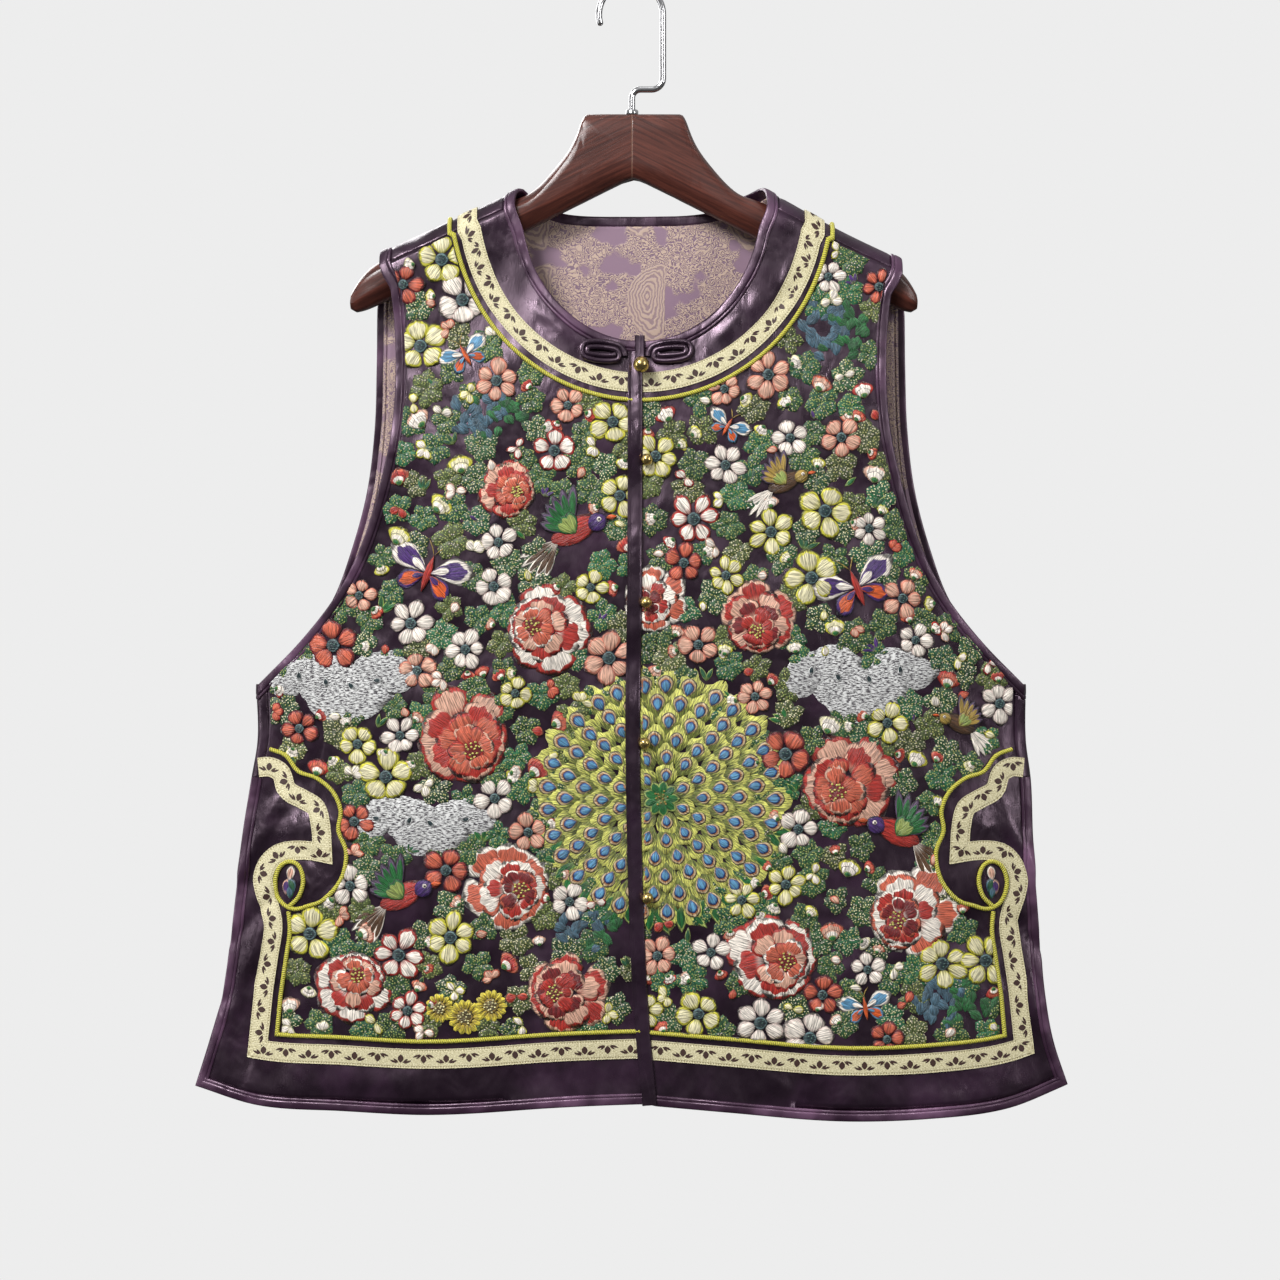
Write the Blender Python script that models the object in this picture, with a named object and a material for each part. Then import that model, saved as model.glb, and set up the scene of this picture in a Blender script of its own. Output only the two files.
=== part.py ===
"""An embroidered satin waistcoat hanging on a contoured wooden hanger.

Sizes are in millimetres and MM turns them into metres. The garment is laid out on one flat cut: s runs
across from the centre front, q runs over the shoulder, from the front hem (negative) through the top of
the shoulder fold (zero) to the back hem (positive), and below the slope of the shoulders it is level, so
that a strip's width is true there. hung() hangs that cut on the hanger, so panels and bindings share the
points of one hanging surface, and on_cloth() lays ribbons, cords and buttons on the panels' own faces.
The origin is the inside of the hook's bend, where a rail carries it.
"""

import math

import bmesh
import bpy
from mathutils import Vector
from mathutils.bvhtree import BVHTree

MM = 0.001

# Where the garment hangs on the hanger
GARMENT_X = 7.0
HANGER_X = 2.0
SHOULDER_TOP = -142.9
SHOULDER_SLOPE = 0.46
SHOULDER_FROM = 78.0
RIGHT_LIFT = 5.0
RIGHT_LIFT_AT = 92.0
RIGHT_LIFT_RUN = 38.0
FOLD_RADIUS = 17.0
SHOULDER_SEAM = 20.4
SHOULDER_GAP = 0.6
DROP = 130.0
LEVEL_FROM = 27.2
LEVEL_TO = 100.0

# Cloth and trim
WALL = 1.6
BACK_WALL = 1.2
LINING = 1.0
SEAM_GAP = 0.3
BINDING_WIDTH = 7.6
BINDING_THICK = 2.4
STRIP_WIDTH = 9.0
RIBBON_WIDTH = 13.5
RIBBON_THICK = 1.0
LAY_GAP = 0.7
LINING_GAP = 0.5
STRIP_CLEAR = 1.5
TURNING_CLEAR = 0.8
CORD_RADIUS = 1.3
RIBBON_TO_CORD = 12.2
INSET = BINDING_WIDTH + SEAM_GAP

# Neckline: an ellipse at the front, a flatter curve at the back
NECK_HALF = 88.0
NECK_WIDE = 84.0
NECK_CENTRE_Z = -152.0
NECK_DEPTH = 100.0
NECK_FLARE = 4.0
NECK_FLARE_Z = -175.0
NECK_FLARE_RUN = 20.0
BACK_NECK_Q = 27.0
BACK_NECK_CURVE = 1.2
NECK_RIBBON_WIDE = 121.0
NECK_RIBBON_DEPTH = 129.0
NECK_RIBBON_TURN = math.radians(78)
BACK_NECK_RIBBON_Q = 64.0
BACK_NECK_RIBBON_TURN = math.radians(74)

UNDERARM_Z = -491.0
VENT_TOP_Z = -556.0
ARM_TOP_Z = -219.0
BACK_ARM_TOP_Z = -229.0
BACK_ARM_WIDER = 1.5

# Armhole edge: height, distance from centre at the front, and at the back
ARMHOLE = [
    (-187, 182.5, 182.5),
    (-220, 174.6, 186.3),
    (-265, 171.0, 187.2),
    (-310, 173.3, 188.8),
    (-355, 182.6, 194.3),
    (-399, 197.0, 206.0),
    (-430, 213.5, 217.5),
    (-462, 239.0, 237.5),
    (-491, 268.0, 268.0),
]
# Side and vent edge: height, distance from centre on the viewer's left, and on the right
SIDE = [
    (-491, 270.0, 270.0),
    (-530, 269.0, 270.0),
    (-558, 273.5, 273.5),
    (-600, 280.0, 275.0),
    (-656, 286.0, 278.5),
    (-712, 294.0, 283.5),
    (-740, 302.0, 288.5),
    (-772, 312.0, 299.0),
]
# Hem: share of the way from centre front to the corner, height on the left, and on the right
HEM = [
    (0.0, -783.0, -783.5),
    (0.2, -785.0, -788.0),
    (0.48, -790.5, -795.0),
    (0.67, -787.5, -793.0),
    (0.86, -784.5, -786.5),
    (1.0, -772.0, -771.0),
]
# Centre front line: height, distance from the middle
CENTRE_FRONT = [
    (-252, -3.2),
    (-420, -3.6),
    (-530, -4.9),
    (-690, -0.7),
    (-740, 2.8),
    (-795, 8.3),
]
# Half the hung depth: height, at the middle, and at the side edge
DEPTH = [
    (-150, 17.0, 9.0),
    (-330, 25.0, 6.0),
    (-491, 27.0, 2.6),
    (-556, 26.0, 2.6),
    (-660, 25.0, 6.0),
    (-800, 24.0, 9.0),
]
# Hanging folds: place across, half width, fullness at the front and at the back, height where it starts
FOLDS = [
    (-215, 44, 4.5, 4.0, -470),
    (-142, 50, -3.0, 3.0, -520),
    (-76, 46, 3.5, -3.5, -560),
    (-8, 42, -2.5, 3.0, -600),
    (66, 46, 3.5, 4.0, -540),
    (140, 48, -3.0, -3.5, -500),
    (210, 44, 5.0, 4.0, -460),
    (-120, 46, 2.5, 2.0, -230),
    (124, 48, 2.5, 2.0, -240),
]
FOLD_RUN = 230.0
LENS_POWER = 3.2

# Rows and columns of the panels' grids
FOLD_Q = [-20.4, -13.6, -6.8, 0.0, 6.8, 13.6, 20.4, 27.2]
NECK_STEPS = 10
FRONT_ARM_STEPS = 12
BACK_ARM_STEPS = 8
SEAM_STEPS = 2
VENT_STEPS = 8
FRONT_COLUMNS = 12
SHOULDER_COLUMNS = 3
BACK_NECK_ROWS = FOLD_Q[:-1] + [24.5, 26.4, BACK_NECK_Q]
BACK_NECK_STEPS = len(BACK_NECK_ROWS) - 1
STRIP_STEPS = 20
HEM_RIBBON_STEPS = 18
HEM_CORD_STEPS = 15

# Scroll of the side ribbon: distance from centre, height
SCROLL = [
    (260.0, -548.5),
    (252.5, -554.0),
    (247.0, -565.0),
    (236.5, -571.0),
    (227.0, -578.0),
    (222.6, -591.0),
    (221.0, -614.5),
    (240.0, -607.5),
    (254.5, -615.0),
    (260.5, -631.0),
    (258.0, -648.0),
    (257.0, -664.0),
    (259.0, -682.0),
    (262.5, -708.0),
]
SCROLL_CORNER = 6
HEM_RIBBON_CORNER = 264.0
HEM_RIBBON_RISE = 39.0
# Lobes of the stitched cord outside the scroll: distance from centre, height
LOBES = [
    (259.5, -536.5),
    (248.0, -541.0),
    (239.0, -552.0),
    (226.0, -556.5),
    (214.5, -566.0),
    (209.0, -579.0),
    (210.5, -593.0),
    (205.0, -608.0),
    (208.5, -627.0),
    (220.0, -641.0),
    (232.0, -645.5),
]
CURL_CENTRE = (242.5, -631.0)
CURL_WIDE = 7.5
CURL_HIGH = 11.0
CURL_ANGLES = [-20, 25, 70, 115, 160, 205]
CORD_DOWN = [(245.5, -650.5), (244.5, -664.0), (246.5, -682.0), (250.0, -708.0)]
HEM_CORD_CORNER = 251.5

# Hanger, from its own centre: distance out, top height, height of the front face's lower edge
HANGER = [
    (0.0, -90.3, -124.6),
    (33.5, -90.3, -141.4),
    (36.5, -93.5, -142.9),
    (40.0, -105.0, -144.6),
    (46.0, -117.0, -147.6),
    (57.0, -130.5, -153.1),
    (66.0, -140.6, -157.6),
    (75.0, -147.8, -162.1),
    (84.0, -149.8, -166.6),
]
HANGER_ARMS = [100, 120, 140, 160, 176, 188, 195, 199]
HANGER_REACH = 200.0
HANGER_ROUNDS_FROM = 176.0
HANGER_SLOPE = 0.5
HANGER_CENTRE_HALF = 11.0
HANGER_HALF = 12.5
HANGER_CREST = 13.8
HANGER_TIP_DROP = 9.0
HANGER_TIP_HALF = 0.4
HANGER_UNDERSIDE = 10.0
HANGER_UNDER_HALF = 0.45

HOOK_BEND = 22.5
HOOK_WIRE = 2.2
HOOK_RUN_Z = -73.0
HOOK_STEM_X = 0.7
HOOK_COLLAR = 4.4
HOOK_COLLAR_TALL = 2.6
HOOK_COLLAR_BEVEL = 0.6
HOOK_LOW_TURN = 6.0
HOOK_HIGH_TURN = 8.0
HOOK_TIP_TURN = 195

BUTTON_RADIUS = 5.2
BUTTON_ASIDE = 1.0
BUTTON_Z = -268.0
SMALL_BUTTON_RADIUS = 4.0
SMALL_BUTTON_Z = [-335.0, -434.0, -531.5, -639.0]
FROG_Z = -258.5
FROG_HALF_LONG = 18.0
FROG_HALF_HIGH = 8.6
FROG_CORD = 1.7
FROG_PITCH = 3.9
FROG_TURNS = 1.3
FROG_STEPS = 20
FROG_RISE = 0.12
FROG_STRAIGHT = 1.5
FROG_CLEAR = 1.5

SATIN = ("satin", (0.055, 0.028, 0.060), 0.32, 0.0)
BINDING_SATIN = ("binding_satin", (0.110, 0.052, 0.100), 0.35, 0.0)
LINING_CLOTH = ("lining_cloth", (0.330, 0.210, 0.230), 0.55, 0.0)
RIBBON_CLOTH = ("ribbon_cloth", (0.760, 0.640, 0.330), 0.60, 0.0)
CORD_SILK = ("cord_silk", (0.480, 0.430, 0.060), 0.45, 0.0)
BRASS = ("brass", (0.560, 0.400, 0.130), 0.28, 1.0)
WOOD = ("dark_wood", (0.060, 0.018, 0.012), 0.35, 0.0)
CHROME = ("chrome", (0.750, 0.750, 0.760), 0.12, 1.0)

QUARTER = FOLD_RADIUS * math.pi / 2


# Small tools

def curve_through(rows, column):
    """A smooth function of the first column that passes through the given column."""
    rows = sorted(rows)
    xs = [row[0] for row in rows]
    ys = [row[column] for row in rows]
    slopes = [(ys[i + 1] - ys[i]) / (xs[i + 1] - xs[i]) for i in range(len(xs) - 1)]
    ends = [slopes[0], *[(a + b) / 2 for a, b in zip(slopes, slopes[1:])], slopes[-1]]

    def value(x):
        x = min(max(x, xs[0]), xs[-1])
        i = max(k for k in range(len(xs) - 1) if xs[k] <= x)
        run = xs[i + 1] - xs[i]
        t = (x - xs[i]) / run
        start = ys[i] * (2 * t**3 - 3 * t**2 + 1) + ends[i] * run * (t**3 - 2 * t**2 + t)
        return start + ys[i + 1] * (3 * t**2 - 2 * t**3) + ends[i + 1] * run * (t**3 - t**2)

    return value


def eased(t):
    """0 to 1 with flat ends."""
    t = min(max(t, 0.0), 1.0)
    return t * t * (3 - 2 * t)


def spread(first, last, count):
    """Evenly spaced values, both ends included."""
    return [first + (last - first) * k / count for k in range(count + 1)]


def spline(points, corners=()):
    """A smooth path through the points, one point added between each two that touch no corner."""
    path = []
    for i in range(len(points) - 1):
        path.append(points[i])
        if 0 < i < len(points) - 2 and i not in corners and i + 1 not in corners:
            before, start, end, after = points[i - 1 : i + 3]
            path.append(tuple((9 * (b + c) - a - d) / 16 for a, b, c, d in zip(before, start, end, after)))
    return path + [points[-1]]


def inset(path, distance, closed=False):
    """The path moved to its left, with mitred corners; distance is one number or one for each edge."""
    count = len(path)
    edges = distance if isinstance(distance, list) else [distance] * count
    moved = []
    for k, point in enumerate(path):
        before, after = path[k - 1], path[(k + 1) % count]
        if not closed and k == 0:
            before = tuple(2 * p - a for p, a in zip(point, after))
        if not closed and k == count - 1:
            after = tuple(2 * p - b for p, b in zip(point, before))
        first = Vector((before[1] - point[1], point[0] - before[0])).normalized()
        second = Vector((point[1] - after[1], after[0] - point[0])).normalized()
        near, far = edges[k - 1], edges[k % len(edges)]
        turn = first.x * second.y - first.y * second.x
        if abs(turn) < 0.2:
            middle = (first + second).normalized()
            step = middle * ((near + far) / 2 / middle.dot(first))
        else:
            step = Vector((near * second.y - far * first.y, far * first.x - near * second.x)) / turn
        moved.append((point[0] + step.x, point[1] + step.y))
    return moved


# The hanging surface

armhole_front = curve_through(ARMHOLE, 1)
armhole_back = curve_through(ARMHOLE, 2)
side_left = curve_through(SIDE, 1)
side_right = curve_through(SIDE, 2)
hem_left = curve_through(HEM, 1)
hem_right = curve_through(HEM, 2)
centre_front = curve_through(CENTRE_FRONT, 1)
middle_depth = curve_through(DEPTH, 1)
edge_depth = curve_through(DEPTH, 2)


def fold_height(s):
    """Height of the shoulder fold, which slopes down from the neck along the hanger's arms."""
    along = s + GARMENT_X - HANGER_X
    height = SHOULDER_TOP - SHOULDER_SLOPE * (max(abs(along), SHOULDER_FROM) - SHOULDER_FROM)
    return height + RIGHT_LIFT * math.exp(-(((along - RIGHT_LIFT_AT) / RIGHT_LIFT_RUN) ** 2))


def side_edge(z, sign):
    """Distance from centre to the side silhouette."""
    return (side_left if sign < 0 else side_right)(z)


def corner_s(sign):
    """Distance from centre to the hem's corner."""
    return SIDE[-1][1 if sign < 0 else 2]


def hem_height(s):
    """Height of the hem at a distance across."""
    hem = hem_left if s < 0 else hem_right
    return hem(min(abs(s) / corner_s(s), 1.0))


def along_cut(s, z):
    """How far down the cut a height is, at a distance across."""
    below = max(fold_height(s) - z, 0.0)
    length = QUARTER + below - FOLD_RADIUS
    if below < FOLD_RADIUS:
        length = FOLD_RADIUS * math.acos(1 - below / FOLD_RADIUS)
    levelled = min(max((length - LEVEL_FROM) / (LEVEL_TO - LEVEL_FROM), 0.0), 1.0)
    return length + (SHOULDER_TOP - fold_height(s)) * levelled


def length_down(s, q):
    """Length down the hanging cloth from the top of the fold to a point of the cut."""
    slope_drop = SHOULDER_TOP - fold_height(s)
    if abs(q) <= LEVEL_FROM:
        return abs(q)
    if abs(q) >= LEVEL_TO + slope_drop:
        return abs(q) - slope_drop
    stretch = slope_drop / (LEVEL_TO - LEVEL_FROM)
    return (abs(q) + stretch * LEVEL_FROM) / (1 + stretch)


def front(s, z):
    """The cut's point at the front, from its height."""
    return (s, -along_cut(s, z))


def back(s, z):
    """The cut's point at the back, from its height."""
    return (s, along_cut(s, z))


def fullness(s, z, at_front):
    """How far the hanging folds stand out from the smooth shape."""
    total = 0.0
    for place, half_width, front_out, back_out, start_z in FOLDS:
        amount = front_out if at_front else back_out
        grown = eased((start_z - z) / FOLD_RUN)
        total += amount * grown * math.exp(-(((s - place) / half_width) ** 2))
    return total


def bare_point(s, q):
    """The hanging place of a point of the cut, in millimetres."""
    length = length_down(s, q)
    angle = min(length, QUARTER) / FOLD_RADIUS
    z = fold_height(s) - FOLD_RADIUS * (1 - math.cos(angle)) - max(length - QUARTER, 0.0)
    share = min(abs(s) / side_edge(z, s), 1.0)
    lens = edge_depth(z) + (middle_depth(z) - edge_depth(z)) * (1 - share**LENS_POWER)
    hanging = eased((length - QUARTER) / DROP)
    half = FOLD_RADIUS * math.sin(angle) + (lens - FOLD_RADIUS) * hanging
    half += fullness(s, z, q < 0) * (1 - share**6)
    return Vector((GARMENT_X + s, -half if q < 0 else half, z))


def hung(s, q, out=0.0):
    """The hanging place of a point of the cut, moved out along the surface's normal, in metres."""
    step = 0.5
    across = bare_point(s + step, q) - bare_point(s - step, q)
    along = bare_point(s, q + step) - bare_point(s, q - step)
    return (bare_point(s, q) + across.cross(along).normalized() * out) * MM


# Solids

def material(finish):
    """One Principled material for each finish."""
    name, colour, roughness, metallic = finish
    made = bpy.data.materials.get(name)
    if made is None:
        made = bpy.data.materials.new(name)
        made.use_nodes = True
        shader = made.node_tree.nodes["Principled BSDF"]
        shader.inputs["Base Color"].default_value = (*colour, 1.0)
        shader.inputs["Roughness"].default_value = roughness
        shader.inputs["Metallic"].default_value = metallic
    return made


def add_object(name, data, finish):
    """Links an object with its material."""
    made = bpy.data.objects.new(name, data)
    bpy.context.scene.collection.objects.link(made)
    data.materials.append(material(finish))
    return made


def add_mesh(name, bm, finish):
    """Links a mesh object made of a bmesh."""
    mesh = bpy.data.meshes.new(name)
    bm.to_mesh(mesh)
    bm.free()
    mesh.shade_smooth()
    return add_object(name, mesh, finish)


def cloth(name, columns, rows, place, thick, finish):
    """A wall of cloth: a grid whose points are placed by column and row, given its thickness."""
    bm = bmesh.new()
    bmesh.ops.create_grid(bm, x_segments=columns, y_segments=rows, size=1.0)
    for vert in bm.verts:
        column = round((vert.co.x + 1) / 2 * columns)
        row = round((1 - vert.co.y) / 2 * rows)
        vert.co = place(column, row)
    made = add_mesh(name, bm, finish)
    wall = made.modifiers.new("wall", "SOLIDIFY")
    wall.thickness = thick * MM
    wall.offset = 0.0
    wall.use_even_offset = True
    wall.use_quality_normals = True
    return made


def panel(name, top, bottom, left, right, thick, finish, out=0.0):
    """A panel filled in between four edges of the cut."""
    columns, rows = len(top) - 1, len(left) - 1

    def place(column, row):
        g, f = column / columns, row / rows
        point = []
        for axis in (0, 1):
            sides = (1 - g) * left[row][axis] + g * right[row][axis]
            ends = (1 - f) * top[column][axis] + f * bottom[column][axis]
            corners = (1 - f) * ((1 - g) * top[0][axis] + g * top[-1][axis])
            corners += f * ((1 - g) * bottom[0][axis] + g * bottom[-1][axis])
            point.append(sides + ends - corners)
        return hung(*point, out)

    return cloth(name, columns, rows, place, thick, finish)


def strip(name, lines, crown, thick, finish, place_point):
    """A long strip along lines of the cut that all have as many points; crown is each line's rise."""

    def place(column, row):
        return place_point(*lines[column][row], crown[column])

    return cloth(name, len(lines) - 1, len(lines[0]) - 1, place, thick, finish)


def binding(name, path, side):
    """A satin strip just inside an edge; side is 1 where the cloth is on the path's left."""
    lines = [path, inset(path, side * BINDING_WIDTH)]
    return strip(name, lines, (0.0, 0.0), BINDING_THICK, BINDING_SATIN, hung)


def panels_tree(panels):
    """The panels' own faces, to lay things on."""
    points, faces = [], []
    for made in panels:
        start = len(points)
        points += [vert.co.copy() for vert in made.data.vertices]
        faces += [[start + corner for corner in face.vertices] for face in made.data.polygons]
    return BVHTree.FromPolygons(points, faces)


def layer_on(tree):
    """A function that puts a point of the cut on the panels' faces, moved out."""

    def on_cloth(s, q, out):
        spot = hung(s, q)
        near, _, _, _ = tree.find_nearest(spot)
        return near + (hung(s, q, 1.0) - spot).normalized() * out * MM

    return on_cloth


def tube(name, points, radius, finish, resolution=0):
    """A round bar along points given in metres."""
    curve = bpy.data.curves.new(name, "CURVE")
    curve.dimensions = "3D"
    curve.bevel_depth = radius * MM
    curve.bevel_resolution = resolution
    curve.use_fill_caps = True
    line = curve.splines.new("POLY")
    line.points.add(len(points) - 1)
    for place, point in zip(line.points, points):
        place.co = (*point, 1.0)
    return add_object(name, curve, finish)


def ball(name, centre, radius):
    """A round brass button."""
    bm = bmesh.new()
    bmesh.ops.create_uvsphere(bm, u_segments=10, v_segments=7, radius=radius * MM)
    made = add_mesh(name, bm, BRASS)
    made.location = centre
    return made


# Edges of the cut, on the positive side unless a sign is given

def neck_front(first_s, steps):
    """The front neckline, from the shoulder seam down to the centre front."""
    seam_z = fold_height(NECK_HALF) - FOLD_RADIUS * (1 - math.cos(SHOULDER_SEAM / FOLD_RADIUS))
    last = math.acos((NECK_CENTRE_Z - seam_z) / NECK_DEPTH)
    points = [(NECK_HALF, -SHOULDER_SEAM)]
    for angle in spread(last, math.asin(first_s / NECK_WIDE), steps)[1:]:
        z = NECK_CENTRE_Z - NECK_DEPTH * math.cos(angle)
        flare = NECK_FLARE * eased((z - NECK_FLARE_Z) / NECK_FLARE_RUN)
        points.append(front(NECK_WIDE * math.sin(angle) + flare, z))
    return points


def neck_back():
    """The back neckline, from the shoulder seam over the fold to the centre back."""
    points = []
    for q in BACK_NECK_ROWS:
        share = (BACK_NECK_Q - q) / (BACK_NECK_Q + SHOULDER_SEAM)
        cosine = 1 - share ** (1 / BACK_NECK_CURVE)
        points.append((NECK_HALF * (1 - cosine**2) ** 0.25, q))
    return points


def arm_front():
    """The front armhole edge, from the shoulder seam down to the underarm."""
    heights = spread(ARM_TOP_Z, UNDERARM_Z, FRONT_ARM_STEPS - 1)
    return [(ARMHOLE[0][1], -SHOULDER_SEAM)] + [front(armhole_front(z), z) for z in heights]


def arm_back():
    """The back armhole edge, from the shoulder seam over the fold and down to the underarm."""
    heights = spread(BACK_ARM_TOP_Z, UNDERARM_Z, BACK_ARM_STEPS)
    over = [(ARMHOLE[0][2] + BACK_ARM_WIDER * eased(q / FOLD_Q[-1]), q) for q in FOLD_Q]
    return over + [back(armhole_back(z), z) for z in heights]


def side_and_vent(sign, place):
    """The side edge below the underarm, the vent's top and the vent edge down to the corner."""
    corner_z = hem_height(sign * corner_s(sign))
    heights = spread(UNDERARM_Z, VENT_TOP_Z, SEAM_STEPS)[1:] + spread(VENT_TOP_Z, corner_z, VENT_STEPS)[1:]
    return [place(side_edge(z, sign), z) for z in heights]


def mirrored(path, sign):
    """The path on the side that the sign gives."""
    return [(sign * s, q) for s, q in path]


# Garment

def front_edges(sign):
    """One front's four edges on the cut, as outer path, inner path and hem, top to bottom."""
    start = sign * centre_front(NECK_CENTRE_Z - NECK_DEPTH) + SEAM_GAP
    neck = neck_front(start, NECK_STEPS)
    rows = FRONT_ARM_STEPS + SEAM_STEPS + VENT_STEPS - NECK_STEPS
    low = NECK_CENTRE_Z - NECK_DEPTH
    heights = spread(low, hem_height(sign), rows)[1:]
    middle = [front(sign * centre_front(z) + SEAM_GAP, z) for z in heights]
    outer = arm_front() + side_and_vent(sign, front)
    hem = []
    for s in spread(middle[-1][0], corner_s(sign), FRONT_COLUMNS):
        hem.append(front(s, hem_height(sign * abs(s))))
    hem[0], hem[-1] = middle[-1], outer[-1]
    return neck + middle, outer, hem


def front_panel(name, sign):
    """One front, inside its bindings."""
    inner, outer, hem = front_edges(sign)
    rows = len(inner) - 1
    bare = [INSET] * NECK_STEPS + [0.0] * (rows - NECK_STEPS)
    distances = bare + [INSET] * (FRONT_COLUMNS + rows) + [SHOULDER_GAP / 2]
    moved = mirrored(inset(inner + hem[1:-1] + outer[::-1], distances, closed=True), sign)
    inner = moved[: rows + 1]
    hem = moved[rows : rows + FRONT_COLUMNS + 1]
    outer = moved[rows + FRONT_COLUMNS :][::-1]
    top = list(zip(*(spread(a, b, FRONT_COLUMNS) for a, b in zip(inner[0], outer[0]))))
    return panel(name, top, hem, inner, outer, WALL, SATIN)


def back_panel(name, thick, out, finish):
    """The back, from hem over the shoulder folds to the seams; its lining is set further in."""
    clear = INSET + SEAM_GAP
    half_neck = neck_back()
    seam = [(s, -SHOULDER_SEAM) for s in spread(ARMHOLE[0][1], NECK_HALF, SHOULDER_COLUMNS)]
    half_top = seam + half_neck[1:]
    top = [(-s, q) for s, q in half_top] + half_top[::-1][1:]
    columns = len(top) - 1
    right = arm_back() + side_and_vent(1, back)
    left = mirrored(arm_back() + side_and_vent(-1, back), -1)
    rows = len(right) - 1
    hem = [back(s, hem_height(s)) for s in spread(-corner_s(-1), corner_s(1), columns)]
    border = left + hem[1:-1] + right[::-1] + top[1:-1][::-1]
    seams = [-SHOULDER_GAP / 2] * SHOULDER_COLUMNS
    necks = [-clear] * (2 * BACK_NECK_STEPS)
    moved = inset(border, [-clear] * (2 * rows + columns) + seams + necks + seams, closed=True)
    left = moved[: rows + 1]
    hem = moved[rows : rows + columns + 1]
    right = moved[rows + columns : 2 * rows + columns + 1][::-1]
    top = [moved[0]] + moved[2 * rows + columns :][::-1]
    return panel(name, top, hem, left, right, thick, finish, out)


def neck_binding(name):
    """The bias strip round the whole neckline, with its two ends at the centre front."""
    halves = []
    for sign in (-1, 1):
        start = sign * centre_front(NECK_CENTRE_Z - NECK_DEPTH) + SEAM_GAP * 2
        half = neck_front(start, NECK_STEPS)[::-1] + neck_back()[1:]
        halves.append(mirrored(half, sign))
    return binding(name, halves[0] + halves[1][::-1][1:], 1)


def armhole_binding(name, sign):
    """One bias strip round the armhole, which turns from front to back at the underarm."""
    slope = Vector(arm_front()[-1]) - Vector(arm_front()[-2])
    down_reach = slope.length / abs(slope.x)
    lines = []
    for across in (0.0, BINDING_WIDTH):
        forward = inset(arm_front(), -across)
        rear = inset(arm_back(), across)
        under = UNDERARM_Z - across * down_reach
        forward[-1] = front(ARMHOLE[-1][1], under)
        rear[-1] = back(ARMHOLE[-1][2], under)
        rear[0] = (rear[0][0], rear[0][1] + SEAM_GAP)
        lines.append((forward, rear[::-1]))
    front_count = len(lines[0][0])

    def place(column, row):
        forward, rear = lines[column]
        if row < front_count:
            return hung(sign * forward[row][0], forward[row][1])
        if row > front_count:
            s, q = rear[row - front_count - 1]
            return hung(sign * s, q)
        turn = hung(sign * forward[-1][0], forward[-1][1])
        edge = (GARMENT_X + sign * SIDE[0][1]) * MM
        return Vector((edge, 0.0, turn.z))

    rows = front_count + len(lines[0][1])
    return cloth(name, 1, rows, place, BINDING_THICK, BINDING_SATIN)


def side_turning(name, sign):
    """The edge of the back that turns forward to the side seam, above the vent."""
    columns = 6
    slope = Vector(arm_front()[-1]) - Vector(arm_front()[-2])
    under = UNDERARM_Z - (BINDING_WIDTH + TURNING_CLEAR) * slope.length / abs(slope.x)
    heights = spread(UNDERARM_Z, VENT_TOP_Z, SEAM_STEPS)
    heights[-1] += TURNING_CLEAR

    def place(column, row):
        turn = (column / columns - 0.5) * math.pi
        z = heights[row]
        rim = side_edge(z, sign) - BINDING_WIDTH
        if row == 0:
            inside = max(ARMHOLE[-1][1] - rim - BINDING_WIDTH * math.cos(turn), 0.0)
            z = under + inside * abs(slope.y / slope.x)
        edge = hung(*front(sign * rim, z))
        reach = sign * BINDING_WIDTH * math.cos(turn) * MM
        return Vector((edge.x + reach, -edge.y * math.sin(turn), z * MM))

    return cloth(name, columns, SEAM_STEPS, place, WALL, SATIN)


def hem_binding(name, sign):
    """The strip down a front's vent, round its corner and along its hem."""
    _, outer, hem = front_edges(sign)
    path = outer[-VENT_STEPS - 1 :] + hem[::-1][1:-1]
    stop = sign * centre_front(hem_height(sign)) + SEAM_GAP * 2
    path.append(front(stop, hem_height(sign)))
    return binding(name, mirrored(path, sign), -sign)


def back_hem_binding(name):
    """The strip down one back vent, along the hem and up the other vent."""
    left = mirrored(side_and_vent(-1, back), -1)[-VENT_STEPS - 1 :]
    right = side_and_vent(1, back)[-VENT_STEPS - 1 :]
    columns = 2 * (SHOULDER_COLUMNS + BACK_NECK_STEPS)
    hem = [back(s, hem_height(s)) for s in spread(-corner_s(-1), corner_s(1), columns)]
    return binding(name, left + hem[1:-1] + right[::-1], -1)


def centre_strip(name, on_cloth):
    """The satin strip of the overlapping front, which covers where the fronts meet."""
    top_z = NECK_CENTRE_Z - NECK_DEPTH - INSET
    low_z = hem_height(1.0) + SEAM_GAP
    base = WALL / 2 + RIBBON_THICK + 2 * LAY_GAP + BINDING_THICK / 2
    lines = []
    for share in (-0.5, 0.0, 0.5):
        heights = spread(top_z, low_z, STRIP_STEPS)
        lines.append([front(centre_front(z) + STRIP_WIDTH * share, z) for z in heights])
    return strip(name, lines, (base, base, base), BINDING_THICK, BINDING_SATIN, on_cloth)


def ribbon(name, path, on_cloth):
    """A flat ribbon that lies on the cloth along a path."""
    out = WALL / 2 + LAY_GAP + RIBBON_THICK / 2
    lines = [inset(path, RIBBON_WIDTH * share) for share in (-0.5, 0.5)]
    return strip(name, lines, (out, out), RIBBON_THICK, RIBBON_CLOTH, on_cloth)


def laid_cord(name, path, on_cloth):
    """A stitched cord that lies on the cloth along a path."""
    out = WALL / 2 + LAY_GAP + CORD_RADIUS
    return tube(name, [on_cloth(s, q, out) for s, q in path], CORD_RADIUS, CORD_SILK)


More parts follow.
